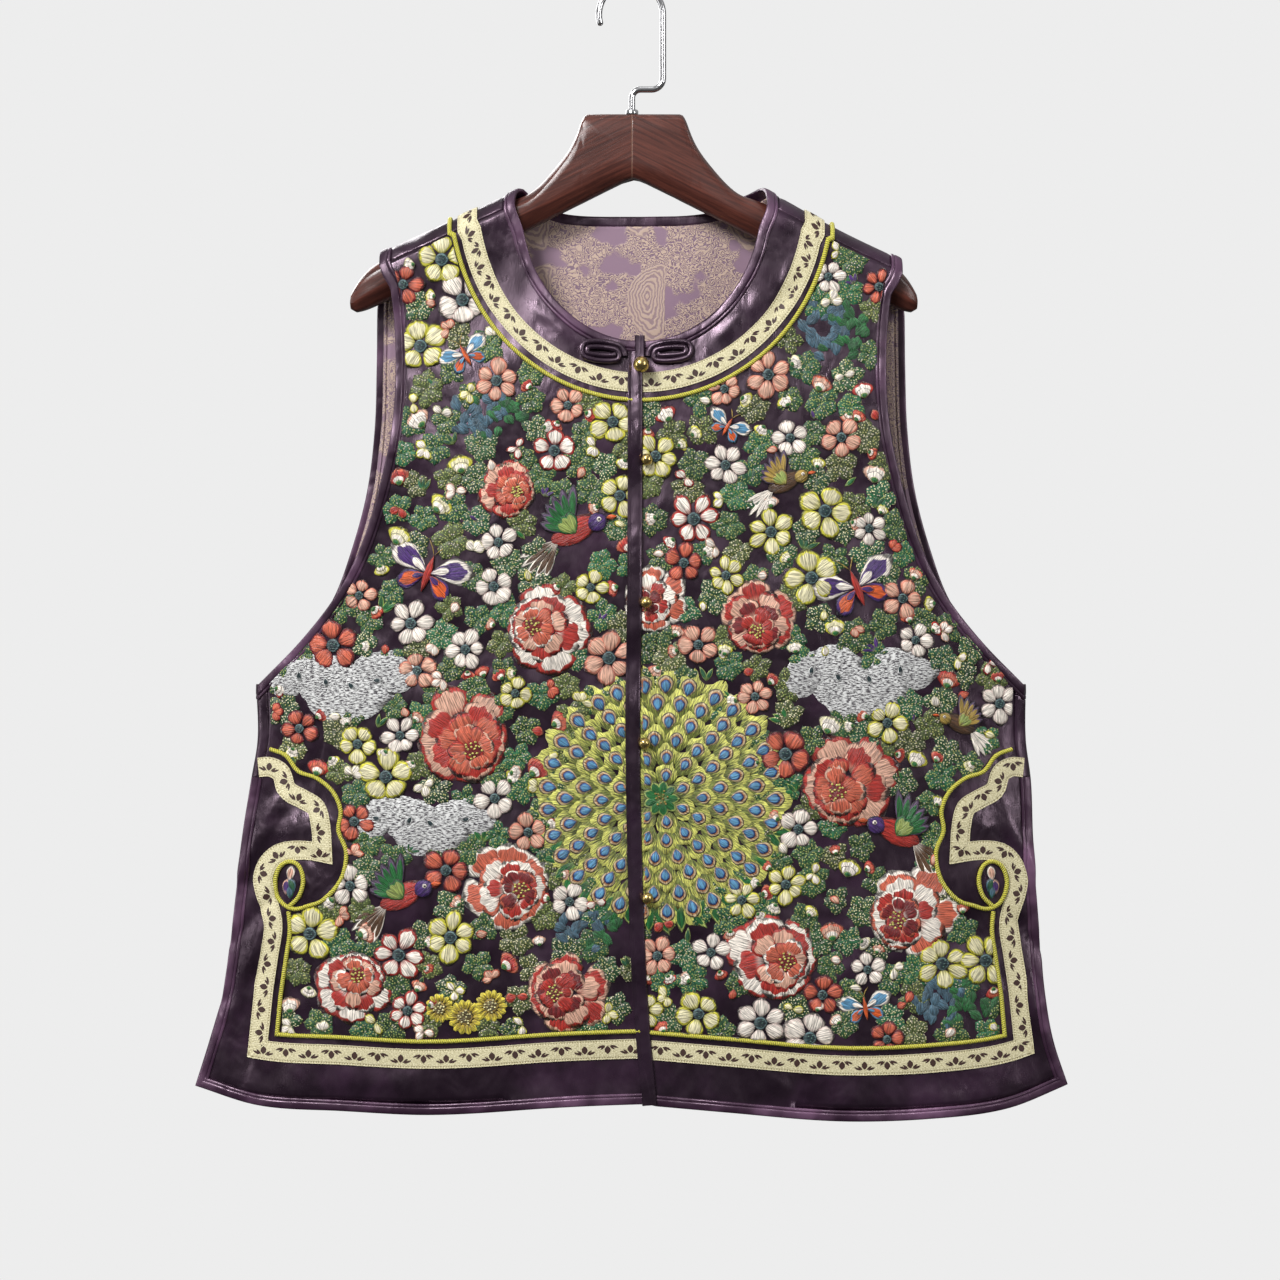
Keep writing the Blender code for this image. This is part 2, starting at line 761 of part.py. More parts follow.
def neck_ring(aside, front_steps, back_steps):
    """A line round the neck: left centre front, over the shoulders and back to the right centre front."""
    wide, deep = NECK_RIBBON_WIDE + aside, NECK_RIBBON_DEPTH + aside
    reach = BACK_NECK_RIBBON_Q + aside
    halves = []
    for sign in (-1, 1):
        start = sign * centre_front(NECK_CENTRE_Z - deep) + STRIP_WIDTH / 2 + STRIP_CLEAR
        half = []
        for angle in spread(math.asin(start / wide), NECK_RIBBON_TURN, front_steps):
            half.append(front(wide * math.sin(angle), NECK_CENTRE_Z - deep * math.cos(angle)))
        half += [(wide, q) for q in FOLD_Q]
        for angle in spread(BACK_NECK_RIBBON_TURN, 0.0, back_steps):
            drop = (reach - FOLD_Q[-1]) * (1 - math.cos(angle)) ** 1.3
            half.append((wide * math.sin(angle) ** 0.7, reach - drop))
        halves.append(mirrored(half, sign))
    return halves[0] + halves[1][::-1][1:]


def scroll_path(sign, place):
    """The side ribbon's line, from the vent's top round the scroll and down beside the vent."""
    points = [place(s, z) for s, z in SCROLL]
    return mirrored(spline(points, corners=(SCROLL_CORNER,)), sign)


def front_ribbon(name, sign, on_cloth):
    """The ribbon of one front: scroll, side and hem."""
    stop = sign * centre_front(hem_height(sign) + HEM_RIBBON_RISE) + STRIP_WIDTH / 2 + STRIP_CLEAR
    places = spread(HEM_RIBBON_CORNER, stop, HEM_RIBBON_STEPS)
    hem = [front(sign * s, hem_height(sign * s) + HEM_RIBBON_RISE) for s in places]
    return ribbon(name, scroll_path(sign, front) + hem, on_cloth)


def back_ribbon(name, on_cloth):
    """The ribbon of the back: both scrolls and the hem between them."""
    places = spread(-HEM_RIBBON_CORNER, HEM_RIBBON_CORNER, 2 * HEM_RIBBON_STEPS)
    hem = [back(s, hem_height(s) + HEM_RIBBON_RISE) for s in places]
    return ribbon(name, scroll_path(-1, back) + hem + scroll_path(1, back)[::-1], on_cloth)


def scroll_cord(name, sign, place, on_cloth):
    """The stitched cord round the scroll's lobes, ending in an open curl."""
    points = list(LOBES)
    for degrees in CURL_ANGLES:
        turn = math.radians(degrees)
        s = CURL_CENTRE[0] + CURL_WIDE * math.sin(turn)
        points.append((s, CURL_CENTRE[1] - CURL_HIGH * math.cos(turn)))
    path = mirrored([place(s, z) for s, z in points], sign)
    return laid_cord(name, spline(path), on_cloth)


def hem_cord(name, sign, on_cloth):
    """The stitched cord from under the curl to the corner and along the hem."""
    rise = HEM_RIBBON_RISE + RIBBON_TO_CORD
    stop = sign * centre_front(hem_height(sign) + rise) + STRIP_WIDTH / 2 + STRIP_CLEAR
    down = [front(sign * s, z) for s, z in CORD_DOWN]
    along = spread(HEM_CORD_CORNER, stop, HEM_CORD_STEPS)
    hem = [front(sign * s, hem_height(sign * s) + rise) for s in along]
    return laid_cord(name, down + hem, on_cloth)


def back_hem_cord(name, on_cloth):
    """The stitched cord of the back, down from one curl, along the hem and up to the other."""
    rise = HEM_RIBBON_RISE + RIBBON_TO_CORD
    left = [back(-s, z) for s, z in CORD_DOWN]
    right = [back(s, z) for s, z in reversed(CORD_DOWN)]
    along = spread(-HEM_CORD_CORNER, HEM_CORD_CORNER, 2 * HEM_CORD_STEPS)
    hem = [back(s, hem_height(s) + rise) for s in along]
    return laid_cord(name, left + hem + right, on_cloth)


def frog(name, sign):
    """Half of the neck fastening: one satin cord wound into a long flat spiral."""
    out = BINDING_THICK / 2 + SEAM_GAP + FROG_CORD
    centre = STRIP_WIDTH / 2 + FROG_CLEAR + FROG_HALF_LONG
    points = []
    for k in range(round(FROG_TURNS * FROG_STEPS) + 1):
        angle = 2 * math.pi * k / FROG_STEPS
        shrink = FROG_CORD + FROG_PITCH * k / FROG_STEPS
        end = min(max(FROG_STRAIGHT * math.cos(angle), -1.0), 1.0) * (FROG_HALF_LONG - FROG_HALF_HIGH)
        along = -end - (FROG_HALF_HIGH - shrink) * math.cos(angle)
        high = (FROG_HALF_HIGH - shrink) * math.sin(angle)
        z = FROG_Z + high + FROG_RISE * (along + FROG_HALF_LONG)
        s = centre_front(FROG_Z) + sign * (centre + along)
        points.append(hung(*front(s, z), out))
    return tube(name, points, FROG_CORD, BINDING_SATIN, resolution=1)


def buttons(on_cloth):
    """One large brass ball in the neck fastening and four small ones beside the centre strip."""
    strip_top = WALL / 2 + RIBBON_THICK + 2 * LAY_GAP + BINDING_THICK
    out = strip_top + SEAM_GAP + BUTTON_RADIUS
    ball("neck_button", on_cloth(*front(centre_front(BUTTON_Z) + BUTTON_ASIDE, BUTTON_Z), out), BUTTON_RADIUS)
    aside = STRIP_WIDTH / 2 + SEAM_GAP + SMALL_BUTTON_RADIUS
    out = WALL / 2 + SEAM_GAP + SMALL_BUTTON_RADIUS
    for number, z in enumerate(SMALL_BUTTON_Z, 1):
        spot = on_cloth(*front(centre_front(z) + aside, z), out)
        ball(f"front_button_{number}", spot, SMALL_BUTTON_RADIUS)


# Hanger

def hanger_sides(along):
    """Top and front lower edge of the hanger at a distance from its centre."""
    for near, far in zip(HANGER, HANGER[1:]):
        if along <= far[0]:
            share = (along - near[0]) / (far[0] - near[0])
            return tuple(a + (b - a) * share for a, b in zip(near[1:], far[1:]))
    top = SHOULDER_TOP - SHOULDER_SLOPE * (along - SHOULDER_FROM) - (FOLD_RADIUS - HANGER_CREST)
    return top, HANGER[0][2] - HANGER_SLOPE * along


def hanger_section(x):
    """The hanger's section at a station: a top as round as the cloth's fold, flat faces, a bevelled base."""
    along = abs(x)
    top, face_low = hanger_sides(along)
    widening = eased((along - HANGER[3][0]) / (HANGER[-1][0] - HANGER[3][0]))
    half = HANGER_CENTRE_HALF + (HANGER_HALF - HANGER_CENTRE_HALF) * widening
    past = max(along - HANGER_ROUNDS_FROM, 0.0) / (HANGER_REACH - HANGER_ROUNDS_FROM)
    round_off = math.sqrt(1 - past**2)
    middle = (top + face_low) / 2 - HANGER_TIP_DROP * past**2
    tall = (top - face_low) / 2 * round_off
    half *= HANGER_TIP_HALF + (1 - HANGER_TIP_HALF) * round_off
    widest = math.asin(half / HANGER_CREST)
    points = []
    for turn in spread(widest, -widest, 6):
        points.append((HANGER_CREST * math.sin(turn), middle + tall - HANGER_CREST * (1 - math.cos(turn))))
    under = middle - tall - HANGER_UNDERSIDE * round_off
    points.append((-half, middle - tall))
    points.append((-half * HANGER_UNDER_HALF, under))
    points.append((half * HANGER_UNDER_HALF, under))
    points.append((half, middle - tall))
    return [Vector((HANGER_X + x, y, z)) * MM for y, z in points]


def hanger(name):
    """The contoured wooden hanger, lofted from one arm's end to the other."""
    arms = [row[0] for row in HANGER] + HANGER_ARMS
    stations = [-x for x in reversed(arms[1:])] + arms
    bm = bmesh.new()
    rings = []
    for x in stations:
        corners = [bm.verts.new(point) for point in hanger_section(x)]
        rings.append([bm.edges.new(pair) for pair in zip(corners, corners[1:] + corners[:1])])
    for before, after in zip(rings, rings[1:]):
        bmesh.ops.bridge_loops(bm, edges=before + after)
    bmesh.ops.contextual_create(bm, geom=rings[0])
    bmesh.ops.contextual_create(bm, geom=rings[-1])
    bmesh.ops.recalc_face_normals(bm, faces=bm.faces)
    return add_mesh(name, bm, WOOD)


def hook(name):
    """The chrome hook: a collar on the hanger, a cranked stem and a round bend."""
    collar_z = HANGER[0][1] + SEAM_GAP
    collar_top = collar_z + HOOK_COLLAR_TALL
    points = [(HOOK_STEM_X, collar_z, HOOK_COLLAR), (HOOK_STEM_X, collar_top, HOOK_COLLAR)]
    points.append((HOOK_STEM_X, collar_top + HOOK_COLLAR_BEVEL, HOOK_WIRE))
    for degrees in (0, 30, 60, 90):
        turn = math.radians(degrees)
        x = HOOK_STEM_X + HOOK_LOW_TURN * (1 - math.cos(turn))
        points.append((x, HOOK_RUN_Z - HOOK_LOW_TURN * (1 - math.sin(turn)), HOOK_WIRE))
    for degrees in (0, 30, 60, 90):
        turn = math.radians(degrees)
        x = HOOK_BEND - HOOK_HIGH_TURN * (1 - math.sin(turn))
        points.append((x, HOOK_RUN_Z + HOOK_HIGH_TURN * (1 - math.cos(turn)), HOOK_WIRE))
    bend_z = HOOK_WIRE - HOOK_BEND
    for degrees in range(0, HOOK_TIP_TURN + 1, 15):
        turn = math.radians(degrees)
        points.append((HOOK_BEND * math.cos(turn), bend_z + HOOK_BEND * math.sin(turn), HOOK_WIRE))
    made = tube(name, [Vector((x, 0, z)) * MM for x, z, _ in points], 1.0, CHROME, resolution=2)
    for place, (_, _, radius) in zip(made.data.splines[0].points, points):
        place.radius = radius
    return made


def main():
    """Builds every piece."""
    for old in list(bpy.data.objects):
        bpy.data.objects.remove(old)
    panels = [front_panel("front_left", -1), front_panel("front_right", 1)]
    panels.append(back_panel("back", BACK_WALL, 0.0, SATIN))
    on_cloth = layer_on(panels_tree(panels))
    inward = BACK_WALL / 2 + LINING_GAP + LINING / 2
    back_panel("back_lining", LINING, -inward, LINING_CLOTH)
    neck_binding("neck_binding")
    back_hem_binding("hem_binding_back")
    centre_strip("centre_strip", on_cloth)
    ribbon("neck_ribbon", neck_ring(0.0, 14, 8), on_cloth)
    laid_cord("neck_cord", neck_ring(RIBBON_TO_CORD, 9, 5), on_cloth)
    back_ribbon("hem_ribbon_back", on_cloth)
    back_hem_cord("hem_cord_back", on_cloth)
    for side, sign in (("left", -1), ("right", 1)):
        armhole_binding(f"armhole_binding_{side}", sign)
        side_turning(f"side_turning_{side}", sign)
        hem_binding(f"hem_binding_{side}", sign)
        front_ribbon(f"hem_ribbon_{side}", sign, on_cloth)
        scroll_cord(f"scroll_cord_{side}", sign, front, on_cloth)
        scroll_cord(f"scroll_cord_back_{side}", sign, back, on_cloth)
        hem_cord(f"hem_cord_{side}", sign, on_cloth)
        frog(f"frog_{side}", sign)
    buttons(on_cloth)
    hanger("hanger")
    hook("hook")


main()
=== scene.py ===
"""Looks of the embroidered satin waistcoat on its hanger.

Lengths are in millimetres and MM turns them into metres. The garment is laid out on one flat cut: s runs
across from the centre front, q over the shoulder from the front hem to the back hem. hung() hangs the cut,
so panels, bindings, ribbons, cords and embroidery all lie on one surface.
"""

import math
import random

import bmesh
import bpy
import numpy as np
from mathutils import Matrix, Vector


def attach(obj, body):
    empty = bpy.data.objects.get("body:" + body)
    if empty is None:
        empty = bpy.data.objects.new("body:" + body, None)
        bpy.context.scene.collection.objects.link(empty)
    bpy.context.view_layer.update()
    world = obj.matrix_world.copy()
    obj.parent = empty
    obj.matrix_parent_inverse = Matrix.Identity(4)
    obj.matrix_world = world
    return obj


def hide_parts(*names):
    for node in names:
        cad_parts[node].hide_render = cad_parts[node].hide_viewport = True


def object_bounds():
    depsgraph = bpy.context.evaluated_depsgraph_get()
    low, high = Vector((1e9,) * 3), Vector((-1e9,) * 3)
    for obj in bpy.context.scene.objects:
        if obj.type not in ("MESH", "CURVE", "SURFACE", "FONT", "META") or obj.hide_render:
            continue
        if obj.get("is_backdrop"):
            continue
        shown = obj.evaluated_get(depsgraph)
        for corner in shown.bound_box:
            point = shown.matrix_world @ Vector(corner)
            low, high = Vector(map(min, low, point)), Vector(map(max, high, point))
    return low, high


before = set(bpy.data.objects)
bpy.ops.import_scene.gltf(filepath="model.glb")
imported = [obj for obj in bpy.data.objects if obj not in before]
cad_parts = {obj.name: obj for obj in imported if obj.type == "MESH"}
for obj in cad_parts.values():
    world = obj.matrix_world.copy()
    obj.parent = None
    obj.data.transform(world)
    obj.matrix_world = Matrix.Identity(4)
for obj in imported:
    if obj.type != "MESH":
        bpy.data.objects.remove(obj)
cad_low, cad_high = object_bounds()

MM = 0.001
MERGE = 1e-6
rng = random.Random(11)

SIDES = (("left", -1), ("right", 1))

# Where the garment hangs on the hanger
GARMENT_X = 7.0
HANGER_X = 2.0
SHOULDER_TOP = -142.9
SHOULDER_SLOPE = 0.46
SHOULDER_FROM = 78.0
RIGHT_LIFT = 5.0
RIGHT_LIFT_AT = 92.0
RIGHT_LIFT_RUN = 38.0
FOLD_RADIUS = 17.0
SHOULDER_SEAM = 20.4
DROP = 130.0
LEVEL_FROM = 27.2
LEVEL_TO = 100.0
QUARTER = FOLD_RADIUS * math.pi / 2

WALL = 1.6
BACK_WALL = 1.2
LINING = 1.0
LINING_GAP = 0.5
BINDING_WIDTH = 7.6
BINDING_THICK = 2.4
BINDING_OUTSIDE = 0.35
BINDING_SHARES = (0.0, 0.06, 0.18, 0.36, 0.54, 0.66, 0.72, 0.78, 0.88, 0.97, 1.0)
SEAM_SHARE = 0.72
SEAM_GROOVE = 0.75
SEAM_TUCK = 0.15
STRIP_TUCK = 0.2
STRIP_WIDTH = 9.0
STRIP_FLAP = 1.6
UNDER_STRIP = STRIP_WIDTH / 2 - 2.0
RIBBON_WIDTH = 13.5
RIBBON_THICK = 1.0
RIBBON_LOW = WALL / 2 + 0.15
RIBBON_TOP = RIBBON_LOW + 0.85
RIBBON_PITCH = 15.6
LAY_GAP = 0.7
CORD_RADIUS = 1.5
RIBBON_TO_CORD = 12.2
UNDER_BINDING = 6.6

NECK_HALF = 88.0
NECK_WIDE = 84.0
NECK_CENTRE_Z = -152.0
NECK_DEPTH = 100.0
NECK_FLARE = 4.0
NECK_FLARE_Z = -175.0
NECK_FLARE_RUN = 20.0
BACK_NECK_Q = 27.0
BACK_NECK_CURVE = 1.2
NECK_RIBBON_WIDE = 121.0
NECK_RIBBON_DEPTH = 129.0
NECK_RIBBON_TURN = math.radians(78)
BACK_NECK_RIBBON_Q = 64.0
BACK_NECK_RIBBON_TURN = math.radians(74)
UNDERARM_Z = -491.0
VENT_TOP_Z = -556.0
TURNING_LOWER = 10.6
TURNING_RISE = 5.6
ARM_TOP_Z = -219.0
BACK_ARM_TOP_Z = -229.0
BACK_ARM_WIDER = 1.5

# Armhole edge: height, distance from centre at the front, and at the back
ARMHOLE = [
    (-187, 182.5, 182.5), (-220, 174.6, 186.3), (-265, 171.0, 187.2), (-310, 173.3, 188.8),
    (-355, 182.6, 194.3), (-399, 197.0, 206.0), (-430, 213.5, 217.5), (-462, 239.0, 237.5),
    (-491, 268.0, 268.0),
]
# Side and vent edge: height, distance from centre on the viewer's left, and on the right
SIDE = [
    (-491, 270.0, 270.0), (-530, 269.0, 270.0), (-558, 273.5, 273.5), (-600, 280.0, 275.0),
    (-656, 286.0, 278.5), (-712, 294.0, 283.5), (-740, 302.0, 288.5), (-772, 312.0, 299.0),
]
# Hem: share of the way from centre front to the corner, height on the left, and on the right
HEM = [
    (0.0, -783.0, -783.5), (0.2, -785.0, -788.0), (0.48, -790.5, -795.0), (0.67, -787.5, -793.0),
    (0.86, -784.5, -786.5), (1.0, -772.0, -771.0),
]
# Centre front line: height, distance from the middle
CENTRE_FRONT = [(-252, -3.2), (-420, -3.6), (-530, -4.9), (-690, -0.7), (-740, 2.8), (-795, 8.3)]
# Half the hung depth: height, at the middle, and at the side edge
DEPTH = [
    (-150, 17.0, 9.0), (-330, 25.0, 6.0), (-491, 27.0, 2.6), (-556, 26.0, 2.6), (-660, 25.0, 6.0),
    (-800, 24.0, 9.0),
]
# Hanging folds: place across, half width, fullness at the front and at the back, height where it starts
FOLDS = [
    (-215, 44, 4.5, 4.0, -470), (-142, 50, -3.0, 3.0, -520), (-76, 46, 3.5, -3.5, -560),
    (-8, 42, -2.5, 3.0, -600), (66, 46, 3.5, 4.0, -540), (140, 48, -3.0, -3.5, -500), (210, 44, 5.0, 4.0, -460),
    (-120, 46, 2.5, 2.0, -230), (124, 48, 2.5, 2.0, -240),
]
FOLD_RUN = 230.0
LENS_POWER = 3.2
# Soft creases: place across, height, length, half width, angle in degrees, rise; 1 front, -1 back
CREASES = [
    (-284, -706, 44, 5.0, 40, -1.8, 1), (-274, -628, 40, 4.5, 80, -1.8, 1), (-256, -576, 34, 4.5, 34, 1.8, 1),
    (112, -176, 30, 4.5, 66, -1.6, 1), (96, -226, 34, 4.5, 55, -1.5, 1), (-268, -600, 70, 4.2, 62, 3.2, 1),
    (-272, -655, 60, 4.6, 48, -3.0, 1), (-276, -690, 66, 4.2, 70, 3.4, 1), (-240, -590, 40, 5.0, 20, 2.0, 1),
    (-228, -612, 34, 4.5, -35, -1.9, 1), (-216, -642, 30, 4.5, 50, 1.9, 1), (268, -606, 60, 4.4, -65, 3.0, 1),
    (272, -668, 64, 4.4, -50, -3.0, 1), (274, -712, 48, 4.4, -74, 3.0, 1), (236, -588, 34, 5.0, -18, 1.2, 1),
    (222, -616, 32, 4.5, 40, -1.1, 1), (-170, -765, 90, 6.0, 4, 0.9, 1), (-60, -768, 80, 6.0, -6, -0.9, 1),
    (90, -770, 90, 6.0, 5, 0.9, 1), (200, -766, 80, 6.0, -8, -0.8, 1), (104, -196, 46, 5.0, 70, 2.0, 1),
    (-104, -200, 40, 5.0, -70, -1.6, 1), (-60, -238, 36, 5.0, -40, 1.5, 1), (66, -236, 36, 5.0, 42, 1.6, 1),
    (-170, -520, 110, 9.0, 24, 1.5, -1), (-140, -640, 130, 10.0, 70, -1.7, -1),
    (-40, -580, 150, 10.0, 82, 1.7, -1), (70, -650, 140, 11.0, -78, -1.8, -1),
    (170, -560, 120, 9.0, -34, 1.6, -1), (150, -420, 100, 9.0, -56, -1.4, -1),
    (-150, -400, 100, 9.0, 58, 1.4, -1), (0, -300, 150, 10.0, 4, -1.0, -1), (30, -430, 140, 12.0, -12, 1.2, -1),
    (-230, -690, 70, 7.0, 66, 1.5, -1), (236, -700, 70, 7.0, -66, 1.5, -1),
]

# Grid steps of the panels
FOLD_STEPS = 24
NECK_STEPS = 60
ARM_STEPS = 72
BACK_ARM_STEPS = ARM_STEPS + FOLD_STEPS
SEAM_STEPS = 12
VENT_STEPS = 48
FRONT_COLUMNS = 84
SHOULDER_COLUMNS = 18
BACK_NECK_STEPS = 46

# Scroll of the side ribbon: distance from centre, height
SCROLL = [
    (268.0, -549.5), (259.5, -549.0), (251.5, -553.5), (247.0, -565.0), (236.5, -571.0), (226.5, -577.5),
    (223.0, -591.0), (221.8, -608.5), (238.0, -606.8), (251.0, -608.6), (260.0, -615.5), (264.0, -626.0),
    (262.5, -637.0), (258.5, -649.0), (256.8, -661.0), (259.5, -679.0), (263.0, -702.0),
]
SCROLL_CORNER = 7
HEM_RIBBON_CORNER = 267.5
HEM_RIBBON_RISE = 39.0
CORD_RISE = HEM_RIBBON_RISE + RIBBON_TO_CORD
# Lobes of the stitched cord outside the scroll: distance from centre, height
LOBES = [
    (259.5, -536.5), (248.0, -541.0), (239.0, -552.0), (226.0, -556.5), (214.5, -566.0), (209.0, -579.0),
    (210.5, -593.0), (205.0, -608.0), (208.5, -627.0), (220.0, -641.0), (232.0, -645.5),
]
# The closed loop at the cord's end: distance from centre, height
CURL = [
    (240.5, -647.8), (248.0, -645.5), (253.8, -638.5), (255.4, -628.0), (252.0, -618.6), (245.2, -614.8),
    (238.4, -617.8), (235.2, -627.5), (238.0, -638.5), (245.0, -646.0),
]
CORD_DOWN = [(245.5, -649.5), (244.6, -664.0), (247.2, -682.0), (251.0, -708.0)]
HEM_CORD_CORNER = 253.5
LOOP_MIDDLE = (245.5, -629.0)

BUTTON_RADIUS = 5.6
BUTTON_ASIDE = 3.4
BUTTON_Z = -270.0
SMALL_BUTTON_RADIUS = 4.1
SMALL_BUTTON_Z = [-335.0, -434.0, -531.5, -639.0]
FROG_Z = -262.5
FROG_HALF_LONG = 18.0
FROG_HALF_HIGH = 10.6
FROG_CORD = 1.95
FROG_PITCH = 3.9
FROG_TURNS = 2.1
FROG_STEPS = 40
FROG_STRAIGHT = 1.5
FROG_RISE = 0.12
FROG_CLEAR = 1.5
TAB_TOP_Z = -248.5
TAB_LOW_Z = -266.0
TAB_WIDTH = 7.0

HOOK_BEND = 22.5
HOOK_WIRE = 2.2
HOOK_RUN_Z = -73.0
HOOK_STEM_X = 0.7
HOOK_LOW_TURN = 6.0
HOOK_HIGH_TURN = 8.0
HOOK_COLLAR_Z = -90.0
# The wire's rise and radius in its collar, and its reach and share of thickness at its tip
HOOK_COLLAR = ((0.0, 4.4), (1.9, 4.4), (2.6, 3.9), (2.8, HOOK_WIRE))
HOOK_TIP = ((0.9, 0.92), (1.6, 0.66), (2.0, 0.30))
# The angle from which the hanger's edges stay creased when it is smoothed, and how sharp they stay
HANGER_CREASE_FROM = math.radians(32)
HANGER_CREASE = 0.72

# Sections of the centre strip and of the tab above the button: share of the half width, height
STRIP_SECTION = [
    (1.0, 0.6), (1.0, 2.4), (0.93, 3.4), (0.72, 3.9), (0.3, 4.05), (-0.3, 3.8), (-0.66, 3.3), (-0.78, 3.1),
    (-0.92, 3.4),
]
TAB_SECTION = [(1.0, 1.8), (1.0, 3.4), (0.7, 4.6), (0.2, 4.3), (0.0, 3.9)]

# Bent drops of the lining, in metres and radians
DROP_WIDE = 0.0165
DROP_LONG = 0.029
DROP_TURN = 0.35
# Where a stitched shape's rim starts
RIM_FROM = 0.68

# How far a stitched shape's edge is tucked into the cloth, and how high it may stand under the centre strip
TUCK = 0.35
STRIP_COVER = 1.9
# How far the embroidery stays from the cords, and how far it runs under the centre strip
FIELD_GAP = 1.5
FIELD_LAP = 2.5
# Where the field's edge leaves the armhole, its widest place there, and how far it stays below the shoulder fold
FIELD_SIDE_Z = -488.0
FIELD_WIDEST = 262.0
FIELD_BELOW_FOLD = 12.5
CLOUD_LOBES = 9
# Outlines of the stitched shapes: where the widest place lies, and how blunt the ends are
OUTLINES = {
    "petal": (1.45, 0.50), "leaf": (0.95, 0.85), "round": (1.0, 0.50), "wing": (1.9, 0.62),
}

WHITE = (0.86, 0.78, 0.69)
BLUSH = (0.70, 0.40, 0.29)
CORAL = (0.56, 0.12, 0.065)
RED = (0.40, 0.028, 0.020)
DEEP = (0.17, 0.012, 0.014)
YELLOW = (0.58, 0.54, 0.045)
CREAMY = (0.76, 0.70, 0.44)
GREEN = (0.012, 0.125, 0.028)
LEAF = (0.016, 0.060, 0.020)
MOSS = (0.050, 0.068, 0.018)
PINE = (0.012, 0.085, 0.034)
LIME = (0.28, 0.35, 0.090)
EYE = (0.010, 0.028, 0.034)
SKY = (0.10, 0.28, 0.46)
SLATE = (0.055, 0.12, 0.17)
VIOLET = (0.060, 0.020, 0.14)
ORANGE = (0.64, 0.10, 0.018)
BROWN = (0.090, 0.042, 0.018)
SILVER = (0.68, 0.68, 0.67)
GOLD = (0.36, 0.24, 0.050)

PEONY_COLOURS = {
    "coral": (BLUSH, CORAL, CORAL, RED),
    "red": (CORAL, RED, DEEP, WHITE),
    "white": (WHITE, BLUSH, CORAL, RED),
    "dark": (RED, DEEP, RED, BLUSH),
}
BLOSSOM_COLOURS = {
    "white": (WHITE, (0.70, 0.58, 0.52)),
    "pink": (BLUSH, (0.62, 0.22, 0.15)),
    "lemon": (CREAMY, YELLOW),
    "rose": (WHITE, RED),
    "red": (CORAL, DEEP),
}
# Main motifs: kind, place across, height, size, and what else its maker asks for
MOTIFS = [
    ("bloom", 14, -570, 79), ("peony", -66, -452, 30, "white"), ("peony", 82, -446, 26, "dark"),
    ("peony", -122, -528, 33, "coral"), ("peony", 144, -560, 32, "coral"), ("peony", -92, -632, 29, "red"),
    ("peony", 92, -680, 31, "white"), ("peony", 186, -650, 31, "red"), ("peony", -200, -700, 26, "white"),
    ("peony", -52, -704, 28, "dark"), ("peony", 8, -432, 22, "red"), ("peony", -92, -356, 20, "coral"),
    ("bird", -46, -386, 36, 1), ("bird", 178, -596, 34, -1), ("bird", -166, -640, 34, 1),
    ("bird", 100, -352, 26, 1), ("bird", 222, -520, 24, -1), ("butterfly", -148, -414, 32, 70),
    ("butterfly", 150, -424, 32, 112), ("butterfly", 60, -312, 17, 60), ("butterfly", -122, -262, 20, 118),
    ("butterfly", 156, -716, 20, 100), ("cloud", -206, -492, 78, 38), ("cloud", 152, -488, 84, 38),
    ("cloud", -150, -588, 74, 32), ("pine", -104, -308, 50, 32), ("pine", 134, -246, 40, 44),
    ("pine", 218, -716, 52, 34), ("pine", -34, -664, 44, 26), ("sunflower", -122, -722, 12),
    ("sunflower", -104, -714, 11), ("sunflower", -140, -716, 10),
]
# Colours of small petals: fill and rim
PETAL_PAIRS = (
    (WHITE, RED), (WHITE, BLUSH), (CREAMY, YELLOW), (CORAL, RED), (WHITE, CREAMY), (BLUSH, CORAL), (WHITE, YELLOW),
    (RED, CORAL),
)
# The petals inside each scroll's loop: fill, rim, how far from the loop's middle, direction
LOOP_PETALS = (
    (VIOLET, BLUSH, 2.4, -9.0, 96), (PINE, SLATE, -3.0, -8.0, 78), (BLUSH, WHITE, 0.0, 0.5, 100),
    (SLATE, PINE, -1.0, -12.0, 84),
)
# One bud of the ribbon: along and across at the part's root, direction in degrees, length, width
BUD_PARTS = (
    (0.0, -2.7, 90, 5.6, 4.4), (-1.5, -3.0, 140, 4.6, 1.5), (1.5, -3.0, 40, 4.6, 1.5), (-2.4, -3.2, 158, 5.4, 1.6),
    (2.4, -3.2, 22, 5.4, 1.6),
)

# The stage, in metres. Lamps: name, place, aim, width, height, power
FLOOR_Z = -1.4
LAMPS = (
    ("key", (-1.3, -2.0, 1.3), (0, 0, -0.45), 0.8, 0.8, 84),
    ("front", (-0.8, -2.3, 0.6), (0, 0, -0.45), 0.35, 0.35, 11),
    ("fill", (2.0, -1.7, 0.3), (0, 0, -0.45), 0.5, 1.4, 17),
    ("top", (0.2, -0.3, 2.0), (0, 0, -0.4), 1.2, 0.8, 3),
    ("left_edge", (-2.2, -0.6, -0.3), (-0.2, 0, -0.6), 0.3, 1.4, 8),
    ("behind", (-0.9, 2.4, 0.7), (0, 0, -0.5), 1.4, 1.4, 30),
)


# The hanging surface

def eased(t):
    """0 to 1 with flat ends."""
    t = np.clip(t, 0.0, 1.0)
    return t * t * (3 - 2 * t)


